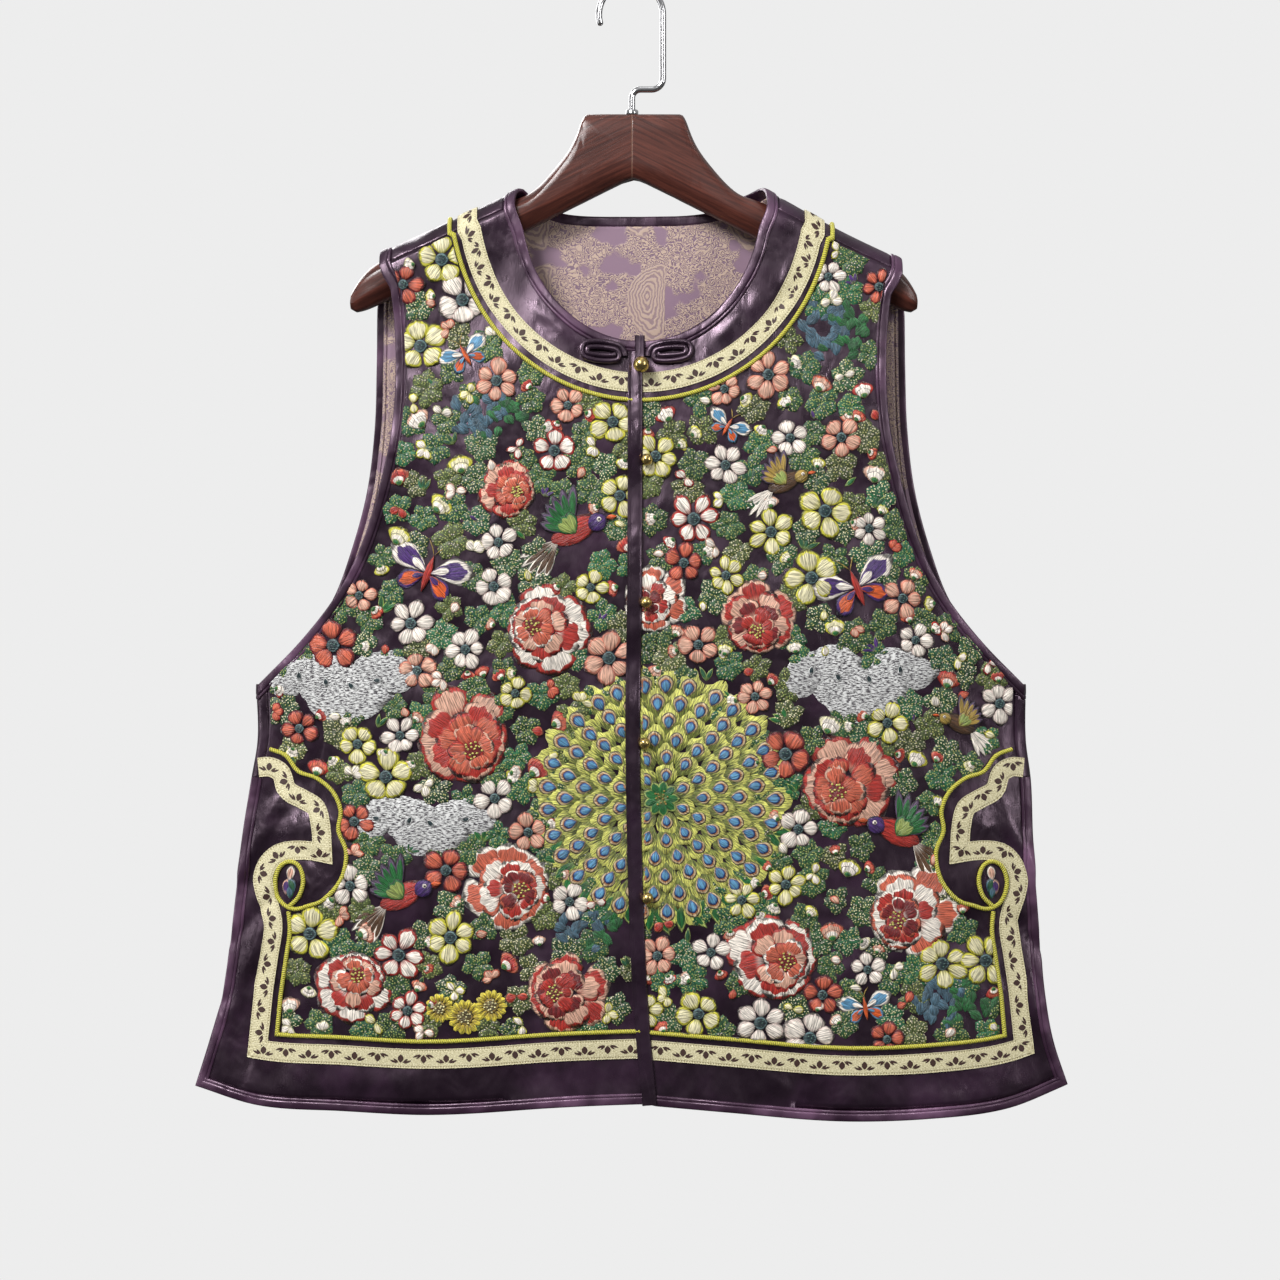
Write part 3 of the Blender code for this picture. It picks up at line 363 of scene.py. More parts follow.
def curve_through(rows, column):
    """A smooth function of the first column that passes through the given column."""
    rows = sorted(rows)
    xs = np.array([row[0] for row in rows], float)
    ys = np.array([row[column] for row in rows], float)
    slopes = np.diff(ys) / np.diff(xs)
    ends = np.concatenate([slopes[:1], (slopes[:-1] + slopes[1:]) / 2, slopes[-1:]])
    fine = np.linspace(xs[0], xs[-1], 1201)
    i = np.clip(np.searchsorted(xs, fine, side="right") - 1, 0, len(xs) - 2)
    run = xs[i + 1] - xs[i]
    t = (fine - xs[i]) / run
    value = ys[i] * (2 * t**3 - 3 * t**2 + 1) + ends[i] * run * (t**3 - 2 * t**2 + t)
    value += ys[i + 1] * (3 * t**2 - 2 * t**3) + ends[i + 1] * run * (t**3 - t**2)
    return lambda x: np.interp(x, fine, value)


armhole_front = curve_through(ARMHOLE, 1)
armhole_back = curve_through(ARMHOLE, 2)
side_left = curve_through(SIDE, 1)
side_right = curve_through(SIDE, 2)
hem_left = curve_through(HEM, 1)
hem_right = curve_through(HEM, 2)
centre_front = curve_through(CENTRE_FRONT, 1)
middle_depth = curve_through(DEPTH, 1)
edge_depth = curve_through(DEPTH, 2)


def fold_height(s):
    """Height of the shoulder fold."""
    along = np.asarray(s, float) + GARMENT_X - HANGER_X
    height = SHOULDER_TOP - SHOULDER_SLOPE * (np.maximum(np.abs(along), SHOULDER_FROM) - SHOULDER_FROM)
    return height + RIGHT_LIFT * np.exp(-(((along - RIGHT_LIFT_AT) / RIGHT_LIFT_RUN) ** 2))


def side_edge(z, sign):
    """Distance from centre to the side silhouette."""
    return np.where(np.asarray(sign) < 0, side_left(z), side_right(z))


def corner_s(sign):
    """Distance from centre to the hem's corner."""
    return np.where(np.asarray(sign) < 0, SIDE[-1][1], SIDE[-1][2])


def hem_height(s):
    """Height of the hem at a distance across."""
    share = np.minimum(np.abs(s) / corner_s(s), 1.0)
    return np.where(np.asarray(s) < 0, hem_left(share), hem_right(share))


def along_cut(s, z):
    """How far down the cut a height is, at a distance across."""
    below = np.maximum(fold_height(s) - z, 0.0)
    on_fold = FOLD_RADIUS * np.arccos(np.clip(1 - below / FOLD_RADIUS, -1, 1))
    length = np.where(below < FOLD_RADIUS, on_fold, QUARTER + below - FOLD_RADIUS)
    levelled = np.clip((length - LEVEL_FROM) / (LEVEL_TO - LEVEL_FROM), 0, 1)
    return length + (SHOULDER_TOP - fold_height(s)) * levelled


def length_down(s, q):
    """Length down the hanging cloth from the top of the fold to a point of the cut."""
    slope_drop = SHOULDER_TOP - fold_height(s)
    reach = np.abs(q)
    stretch = slope_drop / (LEVEL_TO - LEVEL_FROM)
    between = (reach + stretch * LEVEL_FROM) / (1 + stretch)
    length = np.where(reach >= LEVEL_TO + slope_drop, reach - slope_drop, between)
    return np.where(reach <= LEVEL_FROM, reach, length)


def front(s, z):
    """The cut's points at the front, from their heights."""
    return np.stack(np.broadcast_arrays(np.asarray(s, float), -along_cut(s, z)), -1)


def back(s, z):
    """The cut's points at the back, from their heights."""
    return np.stack(np.broadcast_arrays(np.asarray(s, float), along_cut(s, z)), -1)


def creased(s, z, face):
    """Rise of the soft creases."""
    total = 0.0
    for place, height, length, half_width, degrees, rise, side in CREASES:
        turn = math.radians(degrees)
        along = (s - place) * math.cos(turn) + (z - height) * math.sin(turn)
        across = (z - height) * math.cos(turn) - (s - place) * math.sin(turn)
        across = across + 0.06 * along * np.sin(along / 9.0)
        soft = np.exp(-((along / (length / 2)) ** 2) - (across / half_width) ** 2)
        total = total + np.where(face == side, rise * soft, 0.0)
    return total


def bare_point(s, q):
    """The hanging place of points of the cut, in millimetres."""
    length = length_down(s, q)
    angle = np.minimum(length, QUARTER) / FOLD_RADIUS
    z = fold_height(s) - FOLD_RADIUS * (1 - np.cos(angle)) - np.maximum(length - QUARTER, 0.0)
    share = np.minimum(np.abs(s) / side_edge(z, s), 1.0)
    lens = edge_depth(z) + (middle_depth(z) - edge_depth(z)) * (1 - share**LENS_POWER)
    hanging = eased((length - QUARTER) / DROP)
    half = FOLD_RADIUS * np.sin(angle) + (lens - FOLD_RADIUS) * hanging
    at_front = q < 0
    full = 0.0
    for place, half_width, front_out, back_out, start_z in FOLDS:
        grown = eased((start_z - z) / FOLD_RUN)
        amount = np.where(at_front, front_out, back_out)
        full = full + amount * grown * np.exp(-(((s - place) / half_width) ** 2))
    half = half + full * (1 - share**6)
    half = half + creased(s, z, np.where(at_front, 1, -1)) * eased((length - 40) / 30)
    return np.stack([GARMENT_X + s, np.where(at_front, -half, half), z], -1)


def hung(cut, out=0.0):
    """The hanging place of points of the cut, moved out along the surface's normal, in metres."""
    s, q = cut[..., 0], cut[..., 1]
    step = 0.5
    across = bare_point(s + step, q) - bare_point(s - step, q)
    along = bare_point(s, q + step) - bare_point(s, q - step)
    normal = np.cross(across, along)
    normal /= np.linalg.norm(normal, axis=-1, keepdims=True)
    return (bare_point(s, q) + normal * np.asarray(out)[..., None]) * MM


# Paths on the cut

def spread(first, last, count):
    """Evenly spaced values, both ends included."""
    return np.linspace(first, last, count + 1)


def inset(path, distance, closed=False):
    """The path moved to its left, with mitred corners; distance is one number or one for each edge."""
    path = np.asarray(path, float)
    edges = np.broadcast_to(np.asarray(distance, float), (len(path),))
    before, after = np.roll(path, 1, axis=0), np.roll(path, -1, axis=0)
    if not closed:
        before[0] = 2 * path[0] - path[1]
        after[-1] = 2 * path[-1] - path[-2]
    first, second = path - before, after - path
    first = np.stack([-first[:, 1], first[:, 0]], -1)
    second = np.stack([-second[:, 1], second[:, 0]], -1)
    first /= np.maximum(np.linalg.norm(first, axis=1, keepdims=True), 1e-9)
    second /= np.maximum(np.linalg.norm(second, axis=1, keepdims=True), 1e-9)
    near, far = np.roll(edges, 1)[:, None], edges[:, None]
    turn = (first[:, 0] * second[:, 1] - first[:, 1] * second[:, 0])[:, None]
    middle = first + second
    middle /= np.maximum(np.linalg.norm(middle, axis=1, keepdims=True), 1e-9)
    straight = middle * ((near + far) / 2 / np.sum(middle * first, axis=1, keepdims=True))
    safe = np.where(np.abs(turn) < 0.2, 1.0, turn)
    cornered = near * np.stack([second[:, 1], -second[:, 0]], -1)
    cornered = (cornered + far * np.stack([-first[:, 1], first[:, 0]], -1)) / safe
    return path + np.where(np.abs(turn) < 0.2, straight, cornered)


def mirrored(path, sign):
    """The path on the side that the sign gives."""
    return np.asarray(path) * np.array([sign, 1.0])


def joined(*paths):
    """Paths end to end, without their shared points."""
    return np.concatenate([paths[0]] + [path[1:] for path in paths[1:]])


def smooth_path(points, corners=(), steps=6):
    """A smooth path through the points, straight beside the corners."""
    points = np.asarray(points, float)
    path = []
    for i in range(len(points) - 1):
        start, end = points[i], points[i + 1]
        before = points[i - 1] if i > 0 and i not in corners else 2 * start - end
        after = points[i + 2] if i < len(points) - 2 and i + 1 not in corners else 2 * end - start
        for t in np.arange(steps) / steps:
            value = 2 * start + (end - before) * t + (2 * before - 5 * start + 4 * end - after) * t**2
            path.append((value + (3 * start - before - 3 * end + after) * t**3) / 2)
    return np.array(path + [points[-1]])


def evened(path, step):
    """The path with its points about one step apart, its sharp corners kept."""
    path = np.asarray(path, float)
    out = [path[0]]
    for start, end in zip(path, path[1:]):
        count = max(1, round(float(np.linalg.norm(end - start)) / step))
        out += [start + (end - start) * k / count for k in range(1, count + 1)]
    return np.array(out)


def neck_front(first_s, steps):
    """The front neckline, from the shoulder seam down to the centre front."""
    seam_z = fold_height(NECK_HALF) - FOLD_RADIUS * (1 - math.cos(SHOULDER_SEAM / FOLD_RADIUS))
    last = math.acos((NECK_CENTRE_Z - seam_z) / NECK_DEPTH)
    angle = spread(last, math.asin(first_s / NECK_WIDE), steps)[1:]
    z = NECK_CENTRE_Z - NECK_DEPTH * np.cos(angle)
    flare = NECK_FLARE * eased((z - NECK_FLARE_Z) / NECK_FLARE_RUN)
    return np.concatenate([[(NECK_HALF, -SHOULDER_SEAM)], front(NECK_WIDE * np.sin(angle) + flare, z)])


def neck_back(steps):
    """The back neckline, from the shoulder seam over the fold to the centre back."""
    turn = spread(0.0, 1.0, steps)
    q = BACK_NECK_Q - (BACK_NECK_Q + SHOULDER_SEAM) * (1 - turn) ** 1.8
    cosine = 1 - ((BACK_NECK_Q - q) / (BACK_NECK_Q + SHOULDER_SEAM)) ** (1 / BACK_NECK_CURVE)
    return np.stack([NECK_HALF * np.maximum(1 - cosine**2, 0) ** 0.25, q], -1)


def arm_front(steps):
    """The front armhole edge, from the shoulder seam down to the underarm."""
    z = spread(ARM_TOP_Z, UNDERARM_Z, steps - 6)
    down = front(armhole_front(z), z)
    lead = smooth_path([(ARMHOLE[0][1], -SHOULDER_SEAM), down[0]])
    return np.concatenate([lead[:-1], down])


def arm_back(steps):
    """The back armhole edge, from the shoulder seam over the fold and down to the underarm."""
    q = spread(-SHOULDER_SEAM, LEVEL_FROM, FOLD_STEPS)
    over = np.stack([ARMHOLE[0][2] + BACK_ARM_WIDER * eased(q / LEVEL_FROM), q], -1)
    z = spread(BACK_ARM_TOP_Z, UNDERARM_Z, steps - FOLD_STEPS - 1)
    return np.concatenate([over, back(armhole_back(z), z)])


def side_and_vent(sign, place):
    """The side edge below the underarm, the vent's top and the vent edge down to the corner."""
    corner_z = hem_height(sign * corner_s(sign))
    seam, vent = spread(UNDERARM_Z, VENT_TOP_Z, SEAM_STEPS), spread(VENT_TOP_Z, corner_z, VENT_STEPS)
    z = np.concatenate([seam[1:], vent[1:]])
    return place(side_edge(z, sign), z)


def front_edges(sign):
    """One front's edges on the cut: inner and outer path from top to bottom, and hem."""
    low = NECK_CENTRE_Z - NECK_DEPTH
    start = sign * centre_front(low)
    neck = neck_front(start, NECK_STEPS)
    outer = np.concatenate([arm_front(ARM_STEPS), side_and_vent(sign, front)])
    z = spread(low, float(hem_height(sign)), len(outer) - len(neck))[1:]
    inner = np.concatenate([neck, front(sign * centre_front(z), z)])
    s = spread(inner[-1][0], float(corner_s(sign)), FRONT_COLUMNS)
    hem = front(s, hem_height(sign * np.abs(s)))
    hem[0], hem[-1] = inner[-1], outer[-1]
    return inner, outer, hem


def back_edges():
    """The back's four edges on the cut: top, left, right and hem."""
    half_neck = neck_back(BACK_NECK_STEPS)
    seam_s = spread(ARMHOLE[0][1], NECK_HALF, SHOULDER_COLUMNS)
    seam = np.stack([seam_s, np.full(len(seam_s), -SHOULDER_SEAM)], -1)
    half_top = joined(seam, half_neck)
    top = joined(mirrored(half_top, -1), half_top[::-1])
    right = np.concatenate([arm_back(BACK_ARM_STEPS), side_and_vent(1, back)])
    left = mirrored(np.concatenate([arm_back(BACK_ARM_STEPS), side_and_vent(-1, back)]), -1)
    s = spread(-float(corner_s(-1)), float(corner_s(1)), len(top) - 1)
    return top, left, right, back(s, hem_height(s))


def neck_ring(aside, front_steps, back_steps):
    """A line round the neck: left centre front, over the shoulders and back to the right centre front."""
    wide, deep = NECK_RIBBON_WIDE + aside, NECK_RIBBON_DEPTH + aside
    reach = BACK_NECK_RIBBON_Q + aside
    halves = []
    for sign in (-1, 1):
        start = sign * centre_front(NECK_CENTRE_Z - deep) + UNDER_STRIP
        angle = spread(math.asin(start / wide), NECK_RIBBON_TURN, front_steps)
        down = front(wide * np.sin(angle), NECK_CENTRE_Z - deep * np.cos(angle))
        q = spread(-SHOULDER_SEAM, LEVEL_FROM, 14)
        over = np.stack([np.full(len(q), wide), q], -1)
        angle = spread(BACK_NECK_RIBBON_TURN, 0.0, back_steps)
        low_q = reach - (reach - LEVEL_FROM) * (1 - np.cos(angle)) ** 1.3
        behind = np.stack([wide * np.sin(angle) ** 0.7, low_q], -1)
        halves.append(mirrored(np.concatenate([down, over, behind]), sign))
    return joined(halves[0], halves[1][::-1])


def scroll_path(sign, place):
    """The side ribbon's line, from the vent's top round the scroll and down beside the vent."""
    points = smooth_path(SCROLL, corners=(SCROLL_CORNER,), steps=5)
    return mirrored(place(points[:, 0], points[:, 1]), sign)


def hem_line(sign, place, corner, rise):
    """A line above the hem, from the corner to the centre front."""
    stop = sign * centre_front(hem_height(sign) + rise) + UNDER_STRIP
    s = sign * spread(corner, float(stop), 60)
    return place(s, hem_height(s) + rise)


def scroll_cord_path(sign, place):
    """The stitched cord round the scroll's lobes, which ends in a closed loop."""
    points = smooth_path(LOBES + CURL, steps=4)
    return mirrored(place(points[:, 0], points[:, 1]), sign)


# Meshes

def lengths_along(path):
    """Length from the path's start to each of its points."""
    steps = np.linalg.norm(np.diff(path, axis=0), axis=1)
    return np.concatenate([[0.0], np.cumsum(steps)])


def points_at(path, at):
    """The points of a flat path at the given lengths."""
    length = lengths_along(path)
    return np.stack([np.interp(at, length, path[:, 0]), np.interp(at, length, path[:, 1])], -1)


def resampled(path, count):
    """The path with a set number of evenly spaced points."""
    return points_at(path, np.linspace(0.0, lengths_along(path)[-1], count))


def place_points(mesh, points):
    """Moves the mesh's points."""
    mesh.vertices.foreach_set("co", points.astype(np.float32).ravel())
    mesh.update()


def paint_marks(mesh, name, values):
    """Stores a pair of numbers for each point as a UV map."""
    corner = np.empty(len(mesh.loops), np.int32)
    mesh.loops.foreach_get("vertex_index", corner)
    layer = mesh.uv_layers.new(name=name)
    layer.uv.foreach_set("vector", values[corner].astype(np.float32).ravel())


def paint_colour(mesh, name, values):
    """Stores a colour for each point."""
    layer = mesh.color_attributes.new(name, "FLOAT_COLOR", "POINT")
    full = np.concatenate([values, np.ones((len(values), 1))], axis=1)
    layer.data.foreach_set("color", full.astype(np.float32).ravel())


def facing(mesh, outward):
    """Turns the faces out if most of them face the other way."""
    normals = np.empty(len(mesh.polygons) * 3, np.float32)
    mesh.polygons.foreach_get("normal", normals)
    if float(np.mean(normals.reshape(-1, 3) @ np.array(outward, np.float32))) < 0:
        mesh.flip_normals()


# What a piece that stands for a CAD node is called after that node's name
MADE_OF = {
    "satin": "satin", "binding_satin": "bias", "lining_cloth": "silk", "ribbon_cloth": "weave",
    "cord_silk": "twist", "brass": "ball", "chrome": "wire", "dark_wood": "wood",
}


def link(name, mesh, finishes, slot):
    """Links a finished piece, which rides on the one body and stands for the CAD node of its name."""
    in_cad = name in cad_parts
    made = bpy.data.objects.new(f"{name}_{MADE_OF[slot]}" if in_cad else name, mesh)
    bpy.context.scene.collection.objects.link(made)
    for used in finishes:
        mesh.materials.append(used)
    mesh.shade_smooth()
    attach(made, "root")
    if in_cad:
        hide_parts(name)
    return made


def finished(bm, name):
    """The mesh of a bmesh, which is let go."""
    mesh = bpy.data.meshes.new(name)
    bm.to_mesh(mesh)
    bm.free()
    return mesh


def grid(columns, rows):
    """A flat grid mesh, with the column and row of each of its points."""
    bm = bmesh.new()
    bmesh.ops.create_grid(bm, x_segments=columns, y_segments=rows, size=1.0)
    mesh = finished(bm, "grid")
    flat = np.empty(len(mesh.vertices) * 3, np.float32)
    mesh.vertices.foreach_get("co", flat)
    flat = flat.reshape(-1, 3)
    column = np.rint((flat[:, 0] + 1) / 2 * columns).astype(int)
    row = np.rint((1 - flat[:, 1]) / 2 * rows).astype(int)
    return mesh, column, row


def grids(columns, rows, count):
    """One mesh of many equal grids, with how far across (-1 to 1) and along (0 to 1) their points lie."""
    template, column, row = grid(columns, rows)
    holder = bpy.data.objects.new("shape", template)
    bpy.context.scene.collection.objects.link(holder)
    many = holder.modifiers.new("many", "ARRAY")
    many.count = count
    many.use_relative_offset = False
    many.use_constant_offset = True
    many.constant_offset_displace = (0.0, 0.0, 0.0)
    graph = bpy.context.evaluated_depsgraph_get()
    mesh = bpy.data.meshes.new_from_object(holder.evaluated_get(graph))
    bpy.data.objects.remove(holder)
    return mesh, column / columns * 2 - 1, (1 - np.cos(math.pi * row / rows)) / 2


def walled(made, thick):
    """Gives a surface its thickness, with its last finish on the far side and the rim."""
    wall = made.modifiers.new("wall", "SOLIDIFY")
    wall.thickness = thick * MM
    wall.offset = 0.0
    wall.material_offset = wall.material_offset_rim = len(made.data.materials) - 1
    return made


def panel(name, edges, thick, out, finishes, slot, outward):
    """A panel filled in between four edges of the cut, given its thickness."""
    top, bottom, left, right = edges
    columns, rows = len(top) - 1, len(left) - 1
    mesh, column, row = grid(columns, rows)
    g, f = (column / columns)[:, None], (row / rows)[:, None]
    cut = (1 - g) * left[row] + g * right[row] + (1 - f) * top[column] + f * bottom[column]
    cut = cut - (1 - f) * ((1 - g) * top[0] + g * top[-1]) - f * ((1 - g) * bottom[0] + g * bottom[-1])
    place_points(mesh, hung(cut, out))
    paint_marks(mesh, "cut", cut * MM)
    facing(mesh, outward)
    return walled(link(name, mesh, finishes, slot), thick)


def trim_mesh(name, points, ring, used, slot):
    """A trim from the points of its rings, closed at both ends."""
    along = lengths_along(points.mean(axis=1)) / MM
    around = lengths_along(ring)
    mesh, column, row = grid(len(ring) - 1, len(points) - 1)
    place_points(mesh, points[row, column])
    paint_marks(mesh, "trim", np.stack([around[column], along[row]], -1))
    bm = bmesh.new()
    bm.from_mesh(mesh)
    bmesh.ops.remove_doubles(bm, verts=bm.verts, dist=MERGE)
    bmesh.ops.holes_fill(bm, edges=[edge for edge in bm.edges if edge.is_boundary], sides=0)
    bmesh.ops.recalc_face_normals(bm, faces=bm.faces)
    bm.to_mesh(mesh)
    bm.free()
    made = link(name, mesh, [used], slot)
    mesh.set_sharp_from_angle(angle=math.radians(50))
    return made


def ring_of(section):
    """The closed ring of a section's (aside, out) points."""
    section = np.asarray(section, float)
    return np.concatenate([section, section[:1]])


def moulding(name, path, section, used, slot):
    """A trim with a closed section, laid along a path of the cut."""
    path, ring = np.asarray(path, float), ring_of(section)
    lines = {aside: inset(path, aside) if aside else path for aside in np.unique(ring[:, 0])}
    points = np.stack([hung(lines[aside], out) for aside, out in ring], axis=1)
    return trim_mesh(name, points, ring, used, slot)


def round_section(radius, out, sides=10):
    """A cord's section."""
    turn = np.arange(sides) * 2 * math.pi / sides
    return [(round(radius * math.sin(t), 6), out + radius * math.cos(t)) for t in turn]


def flat_section(half, low, high, crown, columns):
    """A ribbon's section: a flat base and a slightly crowned top."""
    across = np.linspace(-half, half, columns + 1)
    return [(a, high + crown * (1 - (a / half) ** 2)) for a in across] + [(half, low), (-half, low)]


def binding_section(side):
    """A bias binding's section: rounded over the edge, with the groove of its seam."""
    top, base = [], []
    for share in BINDING_SHARES:
        swell = 0.16 + 0.30 * (1 - abs(2 * share - 1) ** 3.0) ** 0.5
        groove = SEAM_GROOVE * math.exp(-(((share - SEAM_SHARE) / 0.045) ** 2))
        aside = side * share * BINDING_WIDTH
        top.append((aside, BINDING_THICK * (swell + BINDING_OUTSIDE) - groove))
        base.append((aside, -BINDING_THICK * swell))
    return top + base[::-1]


# Finishes

class Value:
    """A number worked out by the nodes, which can be used in sums."""

    def __init__(self, look, socket):
        self.look, self.socket = look, socket

    def worked(self, operation, *others):
        """The result of one operation."""
        made = self.look.add("Math", dict(enumerate((self, *others))), operation=operation)
        return Value(self.look, made.outputs[0])

    def __add__(self, other):
        return self.worked("ADD", other)

    def __sub__(self, other):
        return self.worked("SUBTRACT", other)

    def __rsub__(self, other):
        return self * -1.0 + other

    def __mul__(self, other):
        return self.worked("MULTIPLY", other)

    def __truediv__(self, other):
        return self.worked("DIVIDE", other)

    def __abs__(self):
        return self.worked("ABSOLUTE")

    def sine(self):
        return self.worked("SINE")


class Look:
    """The nodes of a material or of the world."""

    def __init__(self, tree):
        self.tree = tree

    def join(self, socket, value):
        """Sets a socket to a number or a colour, or links it to an output."""
        value = value.socket if isinstance(value, Value) else value
        if isinstance(value, bpy.types.NodeSocket):
            self.tree.links.new(value, socket)
        elif socket.type == "RGBA":
            socket.default_value = (*value[:3], 1.0)
        else:
            socket.default_value = value

    def give(self, input_name, value):
        """Sets or links an input of the shader."""
        self.join(self.tree.nodes["Principled BSDF"].inputs[input_name], value)

    def add(self, kind, links=(), **settings):
        """Adds a node; links holds its inputs' names or numbers, with what each is given."""
        made = self.tree.nodes.new("ShaderNode" + kind)
        for key, value in settings.items():
            setattr(made, key, value)
        for key, value in dict(links).items():
            self.join(made.inputs[key], value)
        return made

    def ramp(self, value, low, high, first=0.0, last=1.0):
        """A smooth step between two values."""
        links = {"Value": value, "From Min": low, "From Max": high, "To Min": first, "To Max": last}
        return Value(self, self.add("MapRange", links, interpolation_type="SMOOTHSTEP").outputs["Result"])

    def blend(self, share, first, second, kind="MIX"):
        """A mix of two colours."""
        links = {0: share, 6: first, 7: second}
        return self.add("Mix", links, data_type="RGBA", blend_type=kind, clamp_result=False).outputs[2]

    def place(self, *scale):
        """Object coordinates, scaled if asked."""
        place = self.add("TexCoord").outputs["Object"]
        return self.mapped(place, *scale) if scale else place

    def mapped(self, vector, x, y, z=1.0, turn=0.0):
        """A vector turned in its plane and scaled."""
        links = {"Vector": vector, "Scale": (x, y, z), "Rotation": (0.0, 0.0, turn)}
        return self.add("Mapping", links).outputs[0]

    def noise(self, vector, scale, detail=2.0, roughness=0.5, distortion=0.0):
        """A noise value."""
        links = {"Vector": vector, "Scale": scale, "Detail": detail}
        links.update({"Roughness": roughness, "Distortion": distortion})
        return Value(self, self.add("TexNoise", links).outputs["Fac"])

    def parts(self, vector):
        """The three numbers of a vector."""
        return [Value(self, part) for part in self.add("SeparateXYZ", {0: vector}).outputs]

    def point(self, x, y, z=0.0):
        """A vector of three numbers."""
        return self.add("CombineXYZ", {0: x, 1: y, 2: z}).outputs[0]

    def marks(self, name):
        """The mesh's pairs of numbers."""
        return self.add("UVMap", uv_map=name).outputs[0]

    def colours(self):
        """The colours of each shape's fill and rim."""
        return [self.add("Attribute", attribute_name=name).outputs["Color"] for name in ("fill", "rim")]

    def shaded(self, colour, value):
        """The colour times a number."""
        return self.blend(1.0, colour, self.point(value, value, value), "MULTIPLY")

    def relief(self, *layers):
        """Fine relief: height, distance and strength of each layer, from the broadest to the finest."""
        under = {}
        for height, distance, strength in layers:
            made = self.add("Bump", {"Height": height, "Distance": distance, "Strength": strength, **under})
            under = {"Normal": made.outputs[0]}
        self.give("Normal", under["Normal"])


def finish(name, colour, roughness=0.5, metallic=0.0, **sockets):
    """A new material, with its nodes."""
    made = bpy.data.materials.new(name)
    made.use_nodes = True
    look = Look(made.node_tree)
    look.give("Base Color", colour)
    look.give("Roughness", roughness)
    look.give("Metallic", metallic)
    for socket, value in sockets.items():
        look.give(socket.replace("_", " "), value)
    return made, look


def darker(colour, share):
    """The colour times a share."""
    return tuple(c * share for c in colour)


def satin(name, dark, light, roughness=0.30):
    """Heavy silk satin: dark, with crumpled highlights from its relief and painted highlights in cloudy patches."""
    made, look = finish(
        name, dark, roughness, Specular_IOR_Level=0.90, Specular_Tint=(1.0, 0.74, 0.92), Sheen_Weight=0.05,
        Sheen_Roughness=0.30, Sheen_Tint=(0.75, 0.52, 0.72), Anisotropic=0.45,
    )
    place = look.place()
    # Painted highlight: cloudy patches where the colour turns from the dark tone to the light one
    painted_highlight = look.ramp(look.noise(place, 22.0, 3.0, 0.55), 0.42, 0.74)
    look.give("Base Color", look.blend(painted_highlight, dark, light))
    broad = look.noise(look.place(1.0, 1.0, 0.7), 15.0, 1.0, 0.4, 0.5)
    crumple = look.noise(look.place(1.0, 1.0, 0.6), 44.0, 2.0, 0.5, 0.6)
    ribs = look.noise(look.place(1400.0, 1400.0, 220.0), 1.0, 1.0)
    look.relief((broad, 0.014, 0.8), (crumple, 0.0026, 0.8), (ribs, 0.0003, 0.35))
    look.give("Roughness", look.ramp(look.noise(place, 90.0), 0.3, 0.7, roughness - 0.06, roughness + 0.10))
    return made


def paisley(name, ground, thread):
    """Lining: mauve ground under fine tan threads, with bent drops of nested lines."""
    made, look = finish(name, ground, Sheen_Weight=0.3, Sheen_Roughness=0.4, Sheen_Tint=(0.9, 0.75, 0.8))
    x, _, z = look.parts(look.place())
    place = look.point(x, z)
    cells = look.add("TexVoronoi", {"Vector": place, "Scale": 13.0, "Randomness": 0.22}, voronoi_dimensions="2D")
    local = look.add("VectorMath", {0: place, 1: cells.outputs["Position"]}, operation="SUBTRACT").outputs[0]
    across, along, _ = look.parts(look.mapped(local, 1 / DROP_WIDE, 1 / DROP_LONG, turn=DROP_TURN))
    narrowed = (across - along * along * 0.45) / (along * -0.38 + 0.80)
    depth = (narrowed * narrowed + along * along).worked("SQRT")
    nested = (look.noise(place, 170.0) * 13.0 + depth * 42.0).sine()
    curls = (look.noise(place, 175.0, 1.5) * 62.0).sine()
    inside = look.ramp(depth, 1.02, 0.96)
    outer, inner = look.ramp(curls, -0.7, 0.3), look.ramp(nested, -0.7, 0.4, 0.30, 0.92)
    bare = look.ramp(look.noise(place, 34.0, 2.0, 0.55), 0.545, 0.60) * (1.0 - inside)
    shown = (outer + (inner - outer) * inside) * (1.0 - bare)
    base = look.blend(bare, darker(ground, 0.80), ground)
    look.give("Base Color", look.blend(shown * 0.85, base, thread))
    look.relief((shown, 0.0004, 0.5))
    return made


def ribbon_weave(name, ground, edge):
    """Cream ribbon with a fine weave and a row of stitch dots along both edges."""
    made, look = finish(name, ground, 0.55, Sheen_Weight=0.35, Sheen_Tint=(1.0, 0.93, 0.7))
    marks = look.marks("trim")
    across, along, _ = look.parts(marks)
    weave = look.noise(look.mapped(marks, 2.4, 0.7), 1.0)
    from_middle = abs(across - RIBBON_WIDTH / 2)
    line = look.ramp(from_middle, 4.9, 5.5) * look.ramp(from_middle, 6.4, 6.0)
    dots = look.ramp((along * 3.4).sine(), 0.1, 0.6)
    tone = look.blend(look.ramp(weave, 0.34, 0.66), darker(ground, 0.72), edge)
    look.give("Base Color", look.blend(line * (dots * 0.8), tone, (0.22, 0.17, 0.06)))
    look.relief(((along * 5.2).sine() * 0.3 + weave - line * 0.8, 0.0004, 0.6))
    return made


